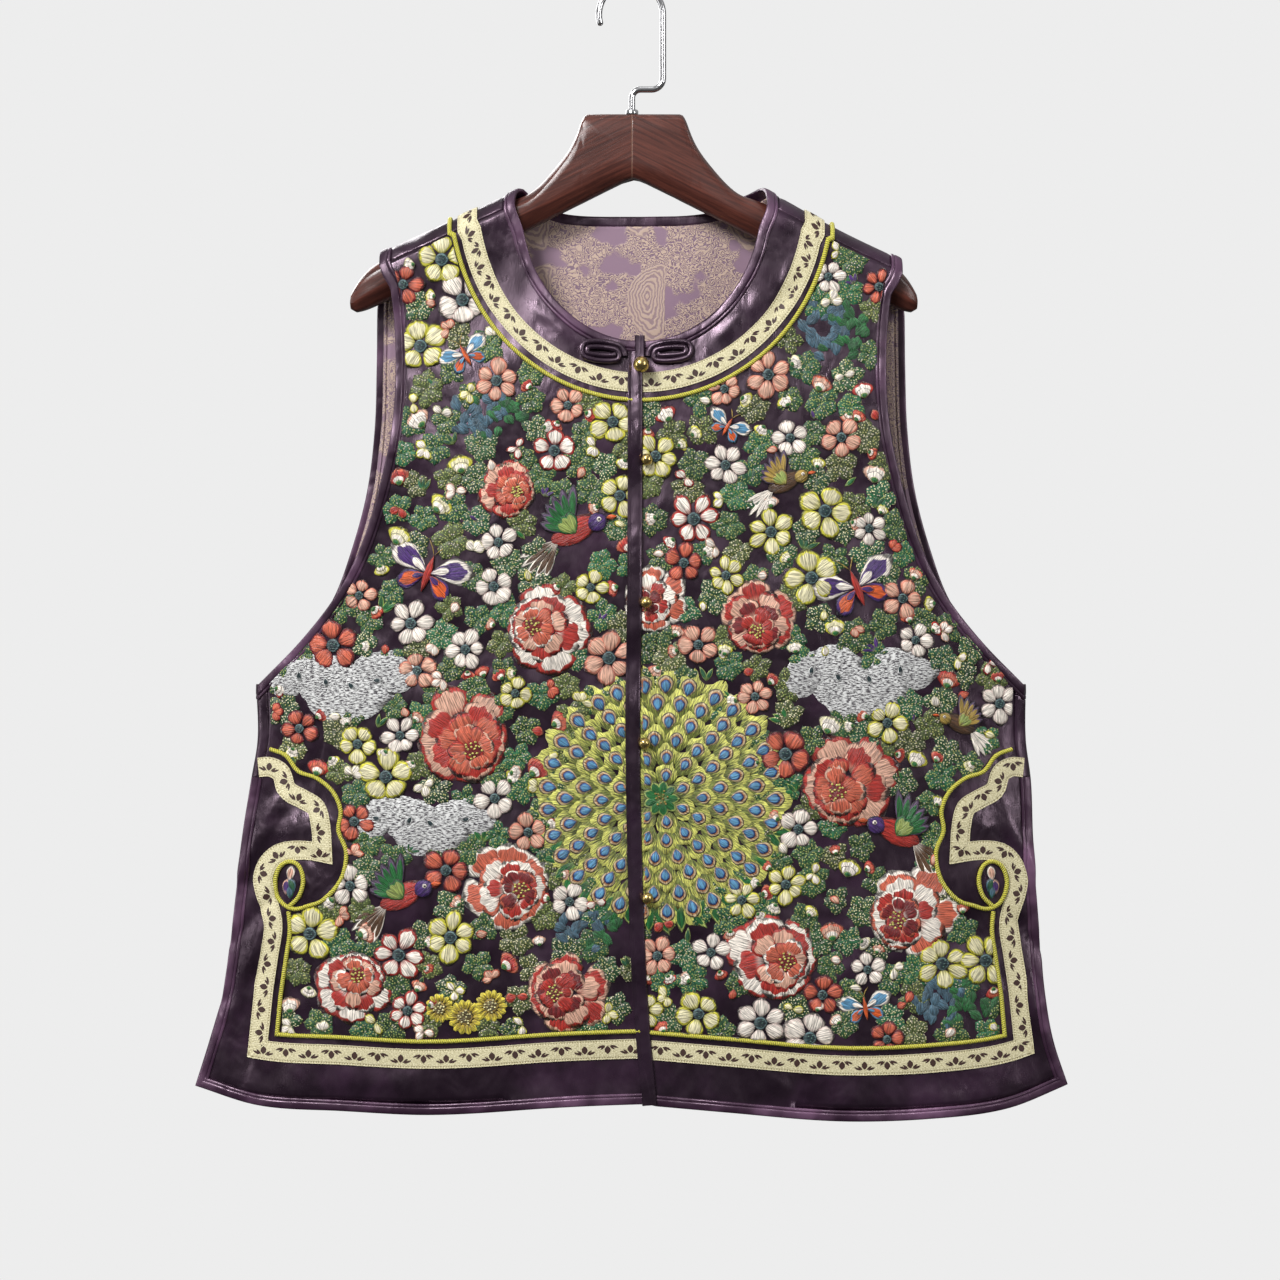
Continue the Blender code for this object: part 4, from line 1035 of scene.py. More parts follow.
def twisted_silk(name, light, dark):
    """A laid cord: two plies that twist round each other, with painted shade in the grooves between them."""
    made, look = finish(name, light, 0.42, Sheen_Weight=0.4, Sheen_Tint=(1.0, 0.95, 0.4))
    marks = look.marks("trim")
    around, along, _ = look.parts(marks)
    ply = (around * (2 / CORD_RADIUS) + along * 4.2).sine()
    # Painted shade: the dark colour fills the grooves between the plies
    tone = look.blend(look.ramp(ply, -1.3, 0.3), dark, light)
    strands = look.ramp(look.noise(marks, 1.6), 0.45, 0.7)
    look.give("Base Color", look.blend(strands * 0.4, tone, (0.85, 0.80, 0.25)))
    look.relief((ply, 0.0004, 0.6))
    return made


def stitched(name):
    """Satin stitch: threads along each shape, its rim in a second colour, with painted shade at its root and edge."""
    made, look = finish(name, (0.5, 0.5, 0.5), 0.42, Sheen_Weight=0.3, Sheen_Roughness=0.4, Specular_IOR_Level=0.45)
    fill, rim = look.colours()
    thread = look.marks("thread")
    across, along, _ = look.parts(look.marks("shape"))
    tip = (along * 2.0 - 1.0).worked("MAXIMUM", 0.0)
    reach = (across * across + tip * tip).worked("SQRT")
    strands = look.noise(look.mapped(thread, 1.25, 0.09), 1.0, 2.0, 0.6)
    fine = look.noise(look.mapped(thread, 2.6, 0.22), 1.0, 1.0)
    tone = look.blend(look.ramp(reach + (strands * 0.22 - 0.11), RIM_FROM, RIM_FROM + 0.07), fill, rim)
    tone = look.blend(look.ramp(strands * 0.3 + along, 0.52, 0.26) * 0.6, tone, rim)
    # Painted shade: the colour darkens towards the shape's root, where it tucks under its neighbours
    tone = look.shaded(tone, look.ramp(along, 0.0, 0.25, 0.50, 1.0))
    # Painted shade: outline is a dark line painted along the shape's edge, where shade falls between shapes
    outline = look.ramp(reach, 0.86, 1.0, 1.0, 0.16)
    look.give("Base Color", look.shaded(tone, look.ramp(strands, 0.30, 0.68, 0.34, 1.30) * outline))
    look.relief((strands + fine * 0.5, 0.0009, 0.85))
    return made


def dashed(name):
    """Long pale stitches with the dark ground showing between them."""
    made, look = finish(name, (0.44, 0.45, 0.46), Sheen_Weight=0.3)
    strands = look.noise(look.mapped(look.marks("thread"), 1.5, 0.30), 1.0, 2.0, 0.6)
    laid = look.ramp(strands, 0.40, 0.52)
    look.give("Base Color", look.blend(laid, (0.060, 0.050, 0.062), look.colours()[0]))
    look.relief((laid, 0.0008, 0.8))
    return made


def seeded(name):
    """Leaves in dark silk with many short seed stitches."""
    made, look = finish(name, (0.03, 0.08, 0.03), Sheen_Weight=0.25, Sheen_Tint=(0.7, 0.9, 0.6))
    fill, rim = look.colours()
    thread = look.marks("thread")
    links = {"Vector": look.mapped(thread, 0.62, 0.44, turn=0.6), "Scale": 1.0, "Randomness": 0.85}
    cells = look.add("TexVoronoi", links, voronoi_dimensions="2D").outputs
    seed = look.ramp(cells["Distance"], 0.34, 0.20)
    tint = look.parts(cells["Color"])[0]
    seeds = look.blend(look.ramp(tint, 0.35, 0.65), rim, (0.46, 0.44, 0.14))
    seeds = look.blend(look.ramp(tint, 0.80, 0.86), seeds, (0.62, 0.54, 0.46))
    strands = look.noise(look.mapped(thread, 0.9, 0.16), 1.0)
    ground = look.shaded(fill, look.ramp(strands, 0.3, 0.7, 0.45, 1.5))
    look.give("Base Color", look.blend(seed * 0.92, ground, seeds))
    look.relief((seed + strands * 0.4, 0.0010, 0.9))
    return made


def bristled(name):
    """Long and short stitches that spread like a brush, for the great bloom and the pine."""
    made, look = finish(name, (0.4, 0.42, 0.1), Sheen_Weight=0.3)
    fill, rim = look.colours()
    along = look.parts(look.marks("shape"))[1]
    strands = look.noise(look.mapped(look.marks("thread"), 1.5, 0.16), 1.0, 2.0, 0.6)
    tone = look.blend(look.ramp(along + (strands * 0.9 - 0.45), 0.35, 0.75), fill, rim)
    look.give("Base Color", look.shaded(tone, look.ramp(strands, 0.34, 0.66, 0.30, 1.25)))
    look.relief((strands, 0.0012, 1.0))
    return made


def metal(name, colour, roughness, wear):
    """Polished metal with faint scratches."""
    made, look = finish(name, colour, roughness, 1.0)
    marks = look.noise(look.place(), wear, 3.0)
    look.give("Roughness", look.ramp(marks, 0.3, 0.7, roughness * 0.7, roughness * 1.6))
    look.give("Base Color", look.blend(look.ramp(marks, 0.4, 0.8), colour, darker(colour, 0.6)))
    return made


def mahogany(name):
    """Dark lacquered wood: grain along the arms, and the light glue line at the middle."""
    made, look = finish(
        name, (0.05, 0.014, 0.010), 0.32, Coat_Weight=0.2, Coat_Roughness=0.30, Specular_IOR_Level=0.4
    )
    x, y, z = look.parts(look.place())
    tilted = abs(x - HANGER_X * MM) * 0.5 + z
    grain = look.noise(look.point(x * 26.0, y * 160.0, tilted * 420.0), 1.0, 4.0, 0.65, 0.4)
    tone = look.blend(look.ramp(grain, 0.30, 0.72), (0.044, 0.012, 0.009), (0.118, 0.033, 0.022))
    joint = look.ramp(abs(x - HOOK_STEM_X * MM), 0.0007, 0.0003)
    look.give("Base Color", look.blend(joint * 0.45, tone, (0.24, 0.13, 0.09)))
    look.relief((grain - joint * 0.6, 0.0004, 0.35))
    return made


# The second colour of each satin is its painted highlight, laid on in cloudy patches
AUBERGINE = satin("satin", (0.0066, 0.0024, 0.0066), (0.030, 0.0125, 0.029))
MAUVE = satin("binding_satin", (0.015, 0.0055, 0.014), (0.090, 0.041, 0.083), 0.34)
# The hem bindings' satin: a lighter copy of the binding satin, its extra lightness a painted highlight
HEM_MAUVE_PAINTED_HIGHLIGHT = satin("hem_satin", (0.026, 0.0095, 0.024), (0.170, 0.085, 0.155), 0.36)
DARK_BIAS = satin("dark_satin", (0.0070, 0.0028, 0.0070), (0.020, 0.009, 0.020), 0.28)
LINING_SILK = paisley("lining_cloth", (0.262, 0.165, 0.228), (0.58, 0.43, 0.33))
CREAM = ribbon_weave("ribbon_cloth", (0.66, 0.58, 0.31), (0.80, 0.74, 0.50))
# The cord's second colour is painted shade for the grooves between its plies
YELLOW_CORD = twisted_silk("cord_silk", (0.60, 0.56, 0.04), (0.16, 0.14, 0.012))
BRASS = metal("brass", (0.62, 0.46, 0.17), 0.24, 400.0)
CHROME = metal("chrome", (0.78, 0.78, 0.80), 0.12, 300.0)
WOOD = mahogany("dark_wood")
BUD_BROWN = finish("ribbon_motif", (0.045, 0.018, 0.014), 0.55)[0]
STITCH = stitched("stitched_silk")
# The finish of each kind of stitched shape, and its faces across and along
STITCHES = {
    "stitch": (STITCH, 6, 8), "seed": (seeded("seed_stitched_silk"), 4, 6),
    "bristle": (bristled("long_stitched_silk"), 5, 6), "cloud": (dashed("dashed_silk"), 6, 8), "knot": (STITCH, 4, 4),
}


# Panels

def front_panel(name, sign):
    """One front, its edges tucked under the bindings."""
    inner, outer, hem = front_edges(sign)
    rows = len(inner) - 1
    bare = [UNDER_BINDING] * NECK_STEPS + [STRIP_TUCK] * (rows - NECK_STEPS)
    distances = bare + [UNDER_BINDING] * (FRONT_COLUMNS + rows) + [SEAM_TUCK]
    border = np.concatenate([inner, hem[1:-1], outer[::-1]])
    moved = mirrored(inset(border, distances, closed=True), sign)
    inner = moved[: rows + 1]
    hem = moved[rows : rows + FRONT_COLUMNS + 1]
    outer = moved[rows + FRONT_COLUMNS :][::-1]
    top = np.stack([spread(a, b, FRONT_COLUMNS) for a, b in zip(inner[0], outer[0])], -1)
    edges = (top, hem, inner, outer)
    return panel(name, edges, WALL, 0.0, [AUBERGINE, LINING_SILK], "satin", (0, -1, 0))


def back_panel(name, thick, out, used, slot, clear):
    """The back, from hem over the shoulder folds to the seams, or its lining."""
    top, left, right, hem = back_edges()
    columns, rows = len(top) - 1, len(left) - 1
    border = np.concatenate([left, hem[1:-1], right[::-1], top[1:-1][::-1]])
    seams, necks = [-SEAM_TUCK] * SHOULDER_COLUMNS, [-clear] * (2 * BACK_NECK_STEPS)
    moved = inset(border, [-clear] * (2 * rows + columns) + seams + necks + seams, closed=True)
    left = moved[: rows + 1]
    hem = moved[rows : rows + columns + 1]
    right = moved[rows + columns : 2 * rows + columns + 1][::-1]
    top = np.concatenate([moved[:1], moved[2 * rows + columns :][::-1]])
    return panel(name, (top, hem, left, right), thick, out, [used], slot, (0, 1, 0))


def side_turning(name, sign):
    """The edge of the back that turns forward to the side seam, above the vent."""
    z = spread(UNDERARM_Z, VENT_TOP_Z - 2.0, 24)
    turn = (np.arange(13) / 12 - 0.5) * math.pi
    edge = hung(front(sign * (side_edge(z, sign) - BINDING_WIDTH), z))
    x = edge[:, None, 0] + sign * BINDING_WIDTH * np.cos(turn) * MM
    y = -edge[:, None, 1] * np.sin(turn)
    top = UNDERARM_Z - TURNING_LOWER + np.maximum(TURNING_RISE - BINDING_WIDTH * np.cos(turn), 0)
    low = np.minimum(z[:, None], top)
    points = np.stack([x, y, low * MM], -1)
    mesh, column, row = grid(len(turn) - 1, len(z) - 1)
    place_points(mesh, points[row, column])
    facing(mesh, (sign, 0, 0))
    bm = bmesh.new()
    bm.from_mesh(mesh)
    bmesh.ops.remove_doubles(bm, verts=bm.verts, dist=10 * MERGE)
    bm.to_mesh(mesh)
    bm.free()
    return walled(link(name, mesh, [AUBERGINE], "satin"), BACK_WALL)


front_left = front_panel("front_left", -1)
front_right = front_panel("front_right", 1)
back_cloth = back_panel("back", BACK_WALL, 0.0, AUBERGINE, "satin", UNDER_BINDING)
lining_out = -(BACK_WALL / 2 + LINING_GAP + LINING / 2)
lining = back_panel("back_lining", LINING, lining_out, LINING_SILK, "lining_cloth", UNDER_BINDING + 0.6)


# Bindings

def neck_binding_path():
    """The whole neckline, between its two ends at the centre front."""
    halves = []
    for sign in (-1, 1):
        start = sign * centre_front(NECK_CENTRE_Z - NECK_DEPTH) + 0.4
        half = joined(neck_front(start, NECK_STEPS)[::-1], neck_back(BACK_NECK_STEPS))
        halves.append(mirrored(half, sign))
    return joined(halves[0], halves[1][::-1])


def armhole_binding(name, sign):
    """One bias strip round the armhole, which turns from front to back at the underarm."""
    ring = ring_of(binding_section(1))
    ahead, behind = arm_front(ARM_STEPS), arm_back(BACK_ARM_STEPS)
    slope = ahead[-1] - ahead[-8]
    down_reach = float(np.linalg.norm(slope) / abs(slope[0]))
    columns = []
    for aside, out in ring:
        under = UNDERARM_Z - aside * down_reach
        last, first = front(ARMHOLE[-1][1], under), back(ARMHOLE[-1][2], under)
        forward, rear = inset(ahead, -aside), inset(behind, aside)
        forward = resampled(forward[forward[:, 1] > last[1]], 90)
        rear = resampled(rear[rear[:, 1] < first[1]], 110)[::-1]
        forward[-1], rear[0] = last, first
        near, far = hung(mirrored(forward, sign), out), hung(mirrored(rear, sign), out)
        edge = np.array([[(GARMENT_X + sign * (SIDE[0][1] + 0.4 * out)) * MM, 0.0, near[-1][2]]])
        columns.append(np.concatenate([near, edge, far]))
    return trim_mesh(name, np.stack(columns, axis=1), ring, MAUVE, "binding_satin")


moulding("neck_binding", neck_binding_path(), binding_section(1), MAUVE, "binding_satin")
vents = {}
for side, sign in SIDES:
    armhole_binding(f"armhole_binding_{side}", sign)
    inner, outer, hem = front_edges(sign)
    edge = mirrored(joined(outer[-VENT_STEPS - 1 :], hem[::-1]), sign)
    moulding(f"hem_binding_{side}", edge, binding_section(-sign), HEM_MAUVE_PAINTED_HIGHLIGHT, "binding_satin")
    vents[side] = mirrored(side_and_vent(sign, back), sign)[-VENT_STEPS - 1 :]
edge = joined(vents["left"], back_edges()[3], vents["right"][::-1])
moulding("hem_binding_back", edge, binding_section(-1), HEM_MAUVE_PAINTED_HIGHLIGHT, "binding_satin")


# Ribbons, cords and fastenings

def ribbon(name, path):
    """The cream ribbon on the cloth."""
    section = flat_section(RIBBON_WIDTH / 2, RIBBON_LOW, RIBBON_TOP, 0.15, 6)
    return moulding(name, evened(path, 3.0), section, CREAM, "ribbon_cloth")


def laid_cord(name, path):
    """The stitched cord on the cloth."""
    section = round_section(CORD_RADIUS, WALL / 2 + CORD_RADIUS * 0.8)
    return moulding(name, evened(path, 2.0), section, YELLOW_CORD, "cord_silk")


def back_line(corner, rise):
    """A line above the back's hem, from corner to corner."""
    s = spread(-corner, corner, 140)
    return back(s, hem_height(s) + rise)


ribbon_paths = {"neck_ribbon": neck_ring(0.0, 60, 36)}
cord_paths = {"neck_cord": neck_ring(RIBBON_TO_CORD, 60, 36)}
for side, sign in SIDES:
    side_turning(f"side_turning_{side}", sign)
    low = hem_line(sign, front, HEM_RIBBON_CORNER, HEM_RIBBON_RISE)
    ribbon_paths[f"hem_ribbon_{side}"] = np.concatenate([scroll_path(sign, front), low])
    down = smooth_path(mirrored(front(*np.array(CORD_DOWN).T), sign))
    low = hem_line(sign, front, HEM_CORD_CORNER, CORD_RISE)
    cord_paths[f"hem_cord_{side}"] = np.concatenate([down, low])
    cord_paths[f"scroll_cord_{side}"] = scroll_cord_path(sign, front)
    cord_paths[f"scroll_cord_back_{side}"] = scroll_cord_path(sign, back)
low = back_line(HEM_RIBBON_CORNER, HEM_RIBBON_RISE)
ribbon_paths["hem_ribbon_back"] = np.concatenate([scroll_path(-1, back), low, scroll_path(1, back)[::-1]])
down = smooth_path(back(*np.array(CORD_DOWN).T))
low = back_line(HEM_CORD_CORNER, CORD_RISE)
cord_paths["hem_cord_back"] = np.concatenate([mirrored(down, -1), low, down[::-1]])
for name, path in ribbon_paths.items():
    ribbon(name, path)
for name, path in cord_paths.items():
    laid_cord(name, path)


def centre_strip(name):
    """The satin strip of the overlapping front, which covers where the fronts meet."""
    z = spread(NECK_CENTRE_Z - NECK_DEPTH - BINDING_WIDTH, float(hem_height(1.0)) + 0.3, 180)
    half, far = STRIP_WIDTH / 2, STRIP_WIDTH / 2 + STRIP_FLAP
    section = [(half * share, out) for share, out in STRIP_SECTION]
    section += [(-far * 0.94, 3.3), (-far, 2.3), (-far, 0.6)]
    return moulding(name, front(centre_front(z), z), section, DARK_BIAS, "binding_satin")


def frog(name, sign):
    """Half of the neck fastening: one satin cord wound into a long flat spiral."""
    centre = STRIP_WIDTH / 2 + FROG_CLEAR + FROG_HALF_LONG
    k = np.arange(round(FROG_TURNS * FROG_STEPS) + 1)
    angle = 2 * math.pi * k / FROG_STEPS
    radius = np.maximum(FROG_HALF_HIGH - FROG_CORD - FROG_PITCH * k / FROG_STEPS, 0.6)
    end = np.clip(FROG_STRAIGHT * np.cos(angle), -1, 1) * (FROG_HALF_LONG - FROG_HALF_HIGH)
    along = -end - radius * np.cos(angle)
    z = FROG_Z + radius * np.sin(angle) + FROG_RISE * (along + FROG_HALF_LONG)
    cut = front(centre_front(FROG_Z) + sign * (centre + along), z)
    lead = cut[:1] + (cut[:1] - cut[1:2]) * 0.4
    section = round_section(FROG_CORD, BINDING_THICK / 2 + 0.3 + FROG_CORD, 12)
    return moulding(name, np.concatenate([lead, cut]), section, DARK_BIAS, "binding_satin")


def ball(name, aside, z, base, radius):
    """A brass ball beside the centre front, resting at a height above the cloth's middle."""
    bm = bmesh.new()
    bmesh.ops.create_uvsphere(bm, u_segments=32, v_segments=20, radius=radius * MM)
    place = hung(front(float(centre_front(z)) + aside, z), base + radius)
    bmesh.ops.translate(bm, verts=bm.verts, vec=Vector(place))
    return link(name, finished(bm, name), [BRASS], "brass")


def knot_tab(name):
    """The short satin loop above the top button."""
    z = spread(TAB_TOP_Z, TAB_LOW_Z, 16)
    half = [(TAB_WIDTH / 2 * share, out) for share, out in TAB_SECTION]
    section = half + [(-aside, out) for aside, out in half[-2::-1]]
    path = front(np.full(len(z), float(centre_front(BUTTON_Z)) + BUTTON_ASIDE - 1.0), z)
    return moulding(name, path, section, DARK_BIAS, "binding_satin")


centre_strip("centre_strip")
knot_tab("knot_tab")
frog("frog_left", -1)
frog("frog_right", 1)
strip_top = WALL / 2 + RIBBON_THICK + 2 * LAY_GAP + BINDING_THICK
ball("neck_button", BUTTON_ASIDE, BUTTON_Z, strip_top + 0.3, BUTTON_RADIUS)
for number, z in enumerate(SMALL_BUTTON_Z, 1):
    aside = STRIP_WIDTH / 2 + SMALL_BUTTON_RADIUS - 1.3
    ball(f"front_button_{number}", aside, z, WALL / 2 + 1.6, SMALL_BUTTON_RADIUS)


# Hanger and hook

def smoothed_hanger():
    """The wooden hanger, with its long edges eased."""
    bm = bmesh.new()
    bm.from_mesh(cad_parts["hanger"].data)
    bmesh.ops.remove_doubles(bm, verts=bm.verts, dist=MERGE)
    flat, square = math.radians(25), math.radians(60)
    bmesh.ops.join_triangles(bm, faces=bm.faces, angle_face_threshold=flat, angle_shape_threshold=square)
    crease = bm.edges.layers.float.new("crease_edge")
    for edge in bm.edges:
        if len(edge.link_faces) == 2 and edge.calc_face_angle() > HANGER_CREASE_FROM:
            edge[crease] = HANGER_CREASE
    made = link("hanger", finished(bm, "hanger_wood"), [WOOD], "dark_wood")
    rounded = made.modifiers.new("rounded", "SUBSURF")
    rounded.levels = rounded.render_levels = 2
    return made


def arc(x, z, radius, first, last, count):
    """Points of the hook's wire round a circle, between two angles in degrees."""
    turn = np.radians(np.linspace(first, last, count))
    return [(x + radius * math.cos(t), z + radius * math.sin(t), HOOK_WIRE) for t in turn]


def wire_hook():
    """The chrome hook: a collar, a cranked stem and a round bend with a rounded tip."""
    points = [(HOOK_STEM_X, HOOK_COLLAR_Z + rise, radius) for rise, radius in HOOK_COLLAR]
    points += arc(HOOK_STEM_X + HOOK_LOW_TURN, HOOK_RUN_Z - HOOK_LOW_TURN, HOOK_LOW_TURN, 180, 90, 10)
    points += arc(HOOK_BEND - HOOK_HIGH_TURN, HOOK_RUN_Z + HOOK_HIGH_TURN, HOOK_HIGH_TURN, -90, 0, 10)
    points += arc(0.0, HOOK_WIRE - HOOK_BEND, HOOK_BEND, 0, 195, 40)
    last, before = np.array(points[-1][:2]), np.array(points[-2][:2])
    ahead = (last - before) / np.linalg.norm(last - before)
    points += [(*(last + ahead * far), HOOK_WIRE * thin) for far, thin in HOOK_TIP]
    points = np.array(points)
    middle, radius = points[:, :2], points[:, 2:]
    ahead = np.gradient(middle, axis=0)
    ahead /= np.linalg.norm(ahead, axis=1, keepdims=True)
    turn = np.linspace(0.0, 2 * math.pi, 21)
    wide = radius * np.cos(turn)
    x, z = middle[:, :1] - ahead[:, 1:] * wide, middle[:, 1:] + ahead[:, :1] * wide
    ring = np.stack([np.sin(turn), np.cos(turn)], -1) * HOOK_WIRE
    return trim_mesh("hook", np.stack([x, radius * np.sin(turn), z], -1) * MM, ring, CHROME, "chrome")


smoothed_hanger()
wire_hook()


# Embroidery

edge_rows = [(FIELD_WIDEST, -480.0), (260.0, -534.0)] + LOBES + CORD_DOWN + [(252.0, -760.0)]
FIELD_EDGE_S, FIELD_EDGE_DOWN = np.array(edge_rows).T * np.array([[1.0], [-1.0]])


def field_edge(z):
    """Distance from centre to the outer edge of the embroidered field, at a height."""
    arm = armhole_front(z) - BINDING_WIDTH + 0.8
    low = np.interp(-z, FIELD_EDGE_DOWN, FIELD_EDGE_S) - FIELD_GAP
    return np.where(z > FIELD_SIDE_Z, np.minimum(arm, FIELD_WIDEST), low)


def confined(s, z, sign):
    """Points brought back inside the embroidered field of one front."""
    wide = NECK_RIBBON_WIDE + RIBBON_TO_CORD + FIELD_GAP
    deep = NECK_RIBBON_DEPTH + RIBBON_TO_CORD + FIELD_GAP
    reach = np.hypot(s / wide, (z - NECK_CENTRE_Z) / deep)
    grow = np.where(reach < 1.0, 1 / np.maximum(reach, 0.05), 1.0)
    s, z = s * grow, NECK_CENTRE_Z + (z - NECK_CENTRE_Z) * grow
    z = np.minimum(z, fold_height(s) - FIELD_BELOW_FOLD)
    z = np.maximum(z, hem_height(s) + CORD_RISE + FIELD_GAP)
    limit = field_edge(z)
    s = np.clip(s, -limit, limit)
    middle = centre_front(z)
    return np.where(sign < 0, np.minimum(s, middle + FIELD_LAP), np.maximum(s, middle - FIELD_LAP)), z


def moved_by(s, z, sign):
    """How far a spot is moved to bring it inside the field."""
    inside_s, inside_z = confined(np.array(s), np.array(z), sign)
    return abs(float(inside_s) - s) + abs(float(inside_z) - z)


def inside_field(s, z, margin):
    """Whether a spot is in the field, away from its edge."""
    sign = 1 if s > centre_front(z) else -1
    if moved_by(s, z, sign) > 0.01:
        return False
    around = (away((s, z), 45 * turn, margin) for turn in range(8))
    return all(moved_by(*place, sign) <= 0.6 * margin for place in around)


def away(at, degrees, reach):
    """The place at a distance from another one, in a direction."""
    turn = math.radians(degrees)
    return at[0] + reach * math.cos(turn), at[1] + reach * math.sin(turn)


def patch(group, at, degrees, length, width, rise, fill, rim, lift=0.3, bend=0.0, wave=0.0, jag=0.0, outline="petal"):
    """Notes one stitched shape: where its root lies, which way it points, and its colours."""
    shape = (*at, math.radians(degrees), length, width, rise, *OUTLINES[outline], lift, bend, wave, jag)
    group.append((*shape, rng.uniform(0, 900), *fill, *rim))


def on_front(s, z, raised):
    """Places on the front, kept low where the centre strip covers them."""
    beside = np.abs(s - centre_front(z))
    low = STRIP_COVER + 1.4 * np.maximum(beside - STRIP_WIDTH / 2 - STRIP_FLAP, 0.0)
    return hung(front(s, z), WALL / 2 - TUCK + np.minimum(raised, low))


def stitched_piece(name, group, kind, sign, bounded=True):
    """One mesh of all the noted shapes."""
    used, columns, rows = STITCHES[kind]
    data = np.array(group)
    mesh, u, v = grids(columns, rows, len(data))
    s, z, turn, length, width, rise, widest, blunt, lift, bend, wave, jag, start = data[:, :13].T[..., None]
    body = np.sin(math.pi * np.clip(v, 0.002, 0.998) ** widest) ** blunt
    ragged = np.sin(u * 9.0 + start) * jag * (v > 0.75) * length
    along = length * v * (1 + wave * np.cos(3 * math.pi * u) * v) + ragged
    across = width / 2 * body * u + bend * length * v * v
    s = s + np.cos(turn) * along - np.sin(turn) * across
    z = z + np.sin(turn) * along + np.cos(turn) * across
    if bounded:
        s, z = confined(s, z, sign)
    crown = (1 - np.abs(u) ** 2.4) ** 0.6 * np.sin(math.pi * np.clip(v, 0.01, 0.99)) ** 0.45
    place_points(mesh, on_front(s, z, lift + rise * crown))
    paint_marks(mesh, "thread", np.stack([across + start, along + start * 0.37], -1).reshape(-1, 2))
    paint_marks(mesh, "shape", np.stack(np.broadcast_arrays(u, v + 0 * length), -1).reshape(-1, 2))
    paint_colour(mesh, "fill", np.repeat(data[:, 13:16], len(u), axis=0))
    paint_colour(mesh, "rim", np.repeat(data[:, 16:19], len(u), axis=0))
    facing(mesh, (0, -1, 0))
    return link(name, mesh, [used], "satin")


def varied(colour, amount=0.12):
    """The colour a little lighter or darker."""
    factor = 1 + rng.uniform(-amount, amount)
    return tuple(min(c * factor, 1.0) for c in colour)


def seeds_at(group, at, radius, count, fill, size=1.5, lift=1.6):
    """A handful of knots."""
    for k in range(count):
        turn, reach = 2.4 * k + rng.uniform(-0.3, 0.3), radius * math.sqrt((k + 0.5) / count)
        x, y = away(at, math.degrees(turn), reach)
        root = (x - size / 2, y)
        degrees = rng.uniform(-30, 30)
        patch(group, root, degrees, size, size * 0.9, 0.7, varied(fill), fill, lift, outline="round")


def blossom(groups, at, radius, fill, rim, count=5):
    """An open blossom: separate petals round a dark eye with a ring of knots."""
    stitch = groups["stitch"]
    start = rng.uniform(0, 360)
    for k in range(count):
        degrees = start + 360 / count * k + rng.uniform(-7, 7)
        wide = radius * (0.86 if count == 5 else 0.72) * rng.uniform(0.84, 1.14)
        patch(
            stitch, away(at, degrees, 0.20 * radius), degrees, radius * rng.uniform(0.66, 0.90), wide, 1.7,
            varied(fill), varied(rim), 0.8 + 0.2 * (k % 2), rng.uniform(-0.10, 0.10), 0.05,
        )
    eye_root = (at[0] - radius * 0.25, at[1])
    patch(stitch, eye_root, 0, radius * 0.50, radius * 0.50, 0.9, EYE, (0.10, 0.17, 0.18), 1.9, outline="round")
    seeds_at(groups["knot"], at, radius * 0.15, 4, (0.10, 0.20, 0.16), 1.2, 2.5)


def half_flower(groups, at, degrees, size, fill, rim):
    """A half-open flower: nested bands round a small green cup."""
    stitch = groups["stitch"]
    patch(stitch, at, degrees, size, size * 1.45, 1.3, varied(fill), varied(rim), 0.6, 0.0, 0.06)
    patch(stitch, at, degrees, size * 0.64, size * 0.88, 1.2, varied(WHITE), varied(fill), 1.5)
    patch(stitch, at, degrees, size * 0.34, size * 0.46, 1.0, GREEN, LIME, 2.3)


def peony(groups, at, radius, outer, middle, heart, rim):
    """A full peony: scalloped petals in nested bands that lean to one side, with a heart of yellow knots there."""
    stitch = groups["stitch"]
    turned, lean = rng.uniform(0, 360), math.degrees(rng.uniform(0, 2 * math.pi))
    bands = (
        (6, 0.44, 1.00, outer, rim, 0.5, 1.16), (5, 0.30, 0.84, rim, outer, 1.0, 1.10),
        (5, 0.22, 0.68, middle, rim, 1.5, 1.10), (4, 0.12, 0.50, heart, outer, 2.0, 1.05),
    )
    for band, (count, near, far, fill, edge, lift, cover) in enumerate(bands):
        turned += 360 / count * 0.5 + rng.uniform(-12, 12)
        middle_at = away(at, lean, 0.085 * band * radius)
        for k in range(count):
            degrees = turned + 360 / count * k + rng.uniform(-11, 11)
            shorter = 1 - 0.14 * math.cos(math.radians(degrees - lean))
            length = radius * (far - near) * rng.uniform(0.88, 1.18) * shorter
            wide = 2 * math.pi * radius * (near + (far - near) * 0.62) / count * cover * rng.uniform(0.86, 1.14)
            patch(
                stitch, away(middle_at, degrees, near * radius), degrees, length, wide, 1.5,
                varied(fill), varied(edge), lift + 0.12 * (k % 2), rng.uniform(-0.10, 0.10), 0.08,
            )
    heart_at = away(at, lean, 0.30 * radius)
    for k in range(3):
        degrees = lean + 180 + 52 * (k - 1)
        patch(
            stitch, away(heart_at, degrees, 0.12 * radius), degrees, radius * rng.uniform(0.34, 0.44),
            radius * 0.40, 1.5, varied(heart), varied(rim), 2.2, 0.1 * (-1) ** k,
        )
    root = away(heart_at, lean, -0.26 * radius)
    patch(stitch, root, lean, radius * 0.54, radius * 0.48, 0.9, varied(DEEP), RED, 2.6, outline="round")
    seeds_at(groups["knot"], heart_at, radius * 0.20, 16, (0.62, 0.56, 0.14), 1.9, 3.3)


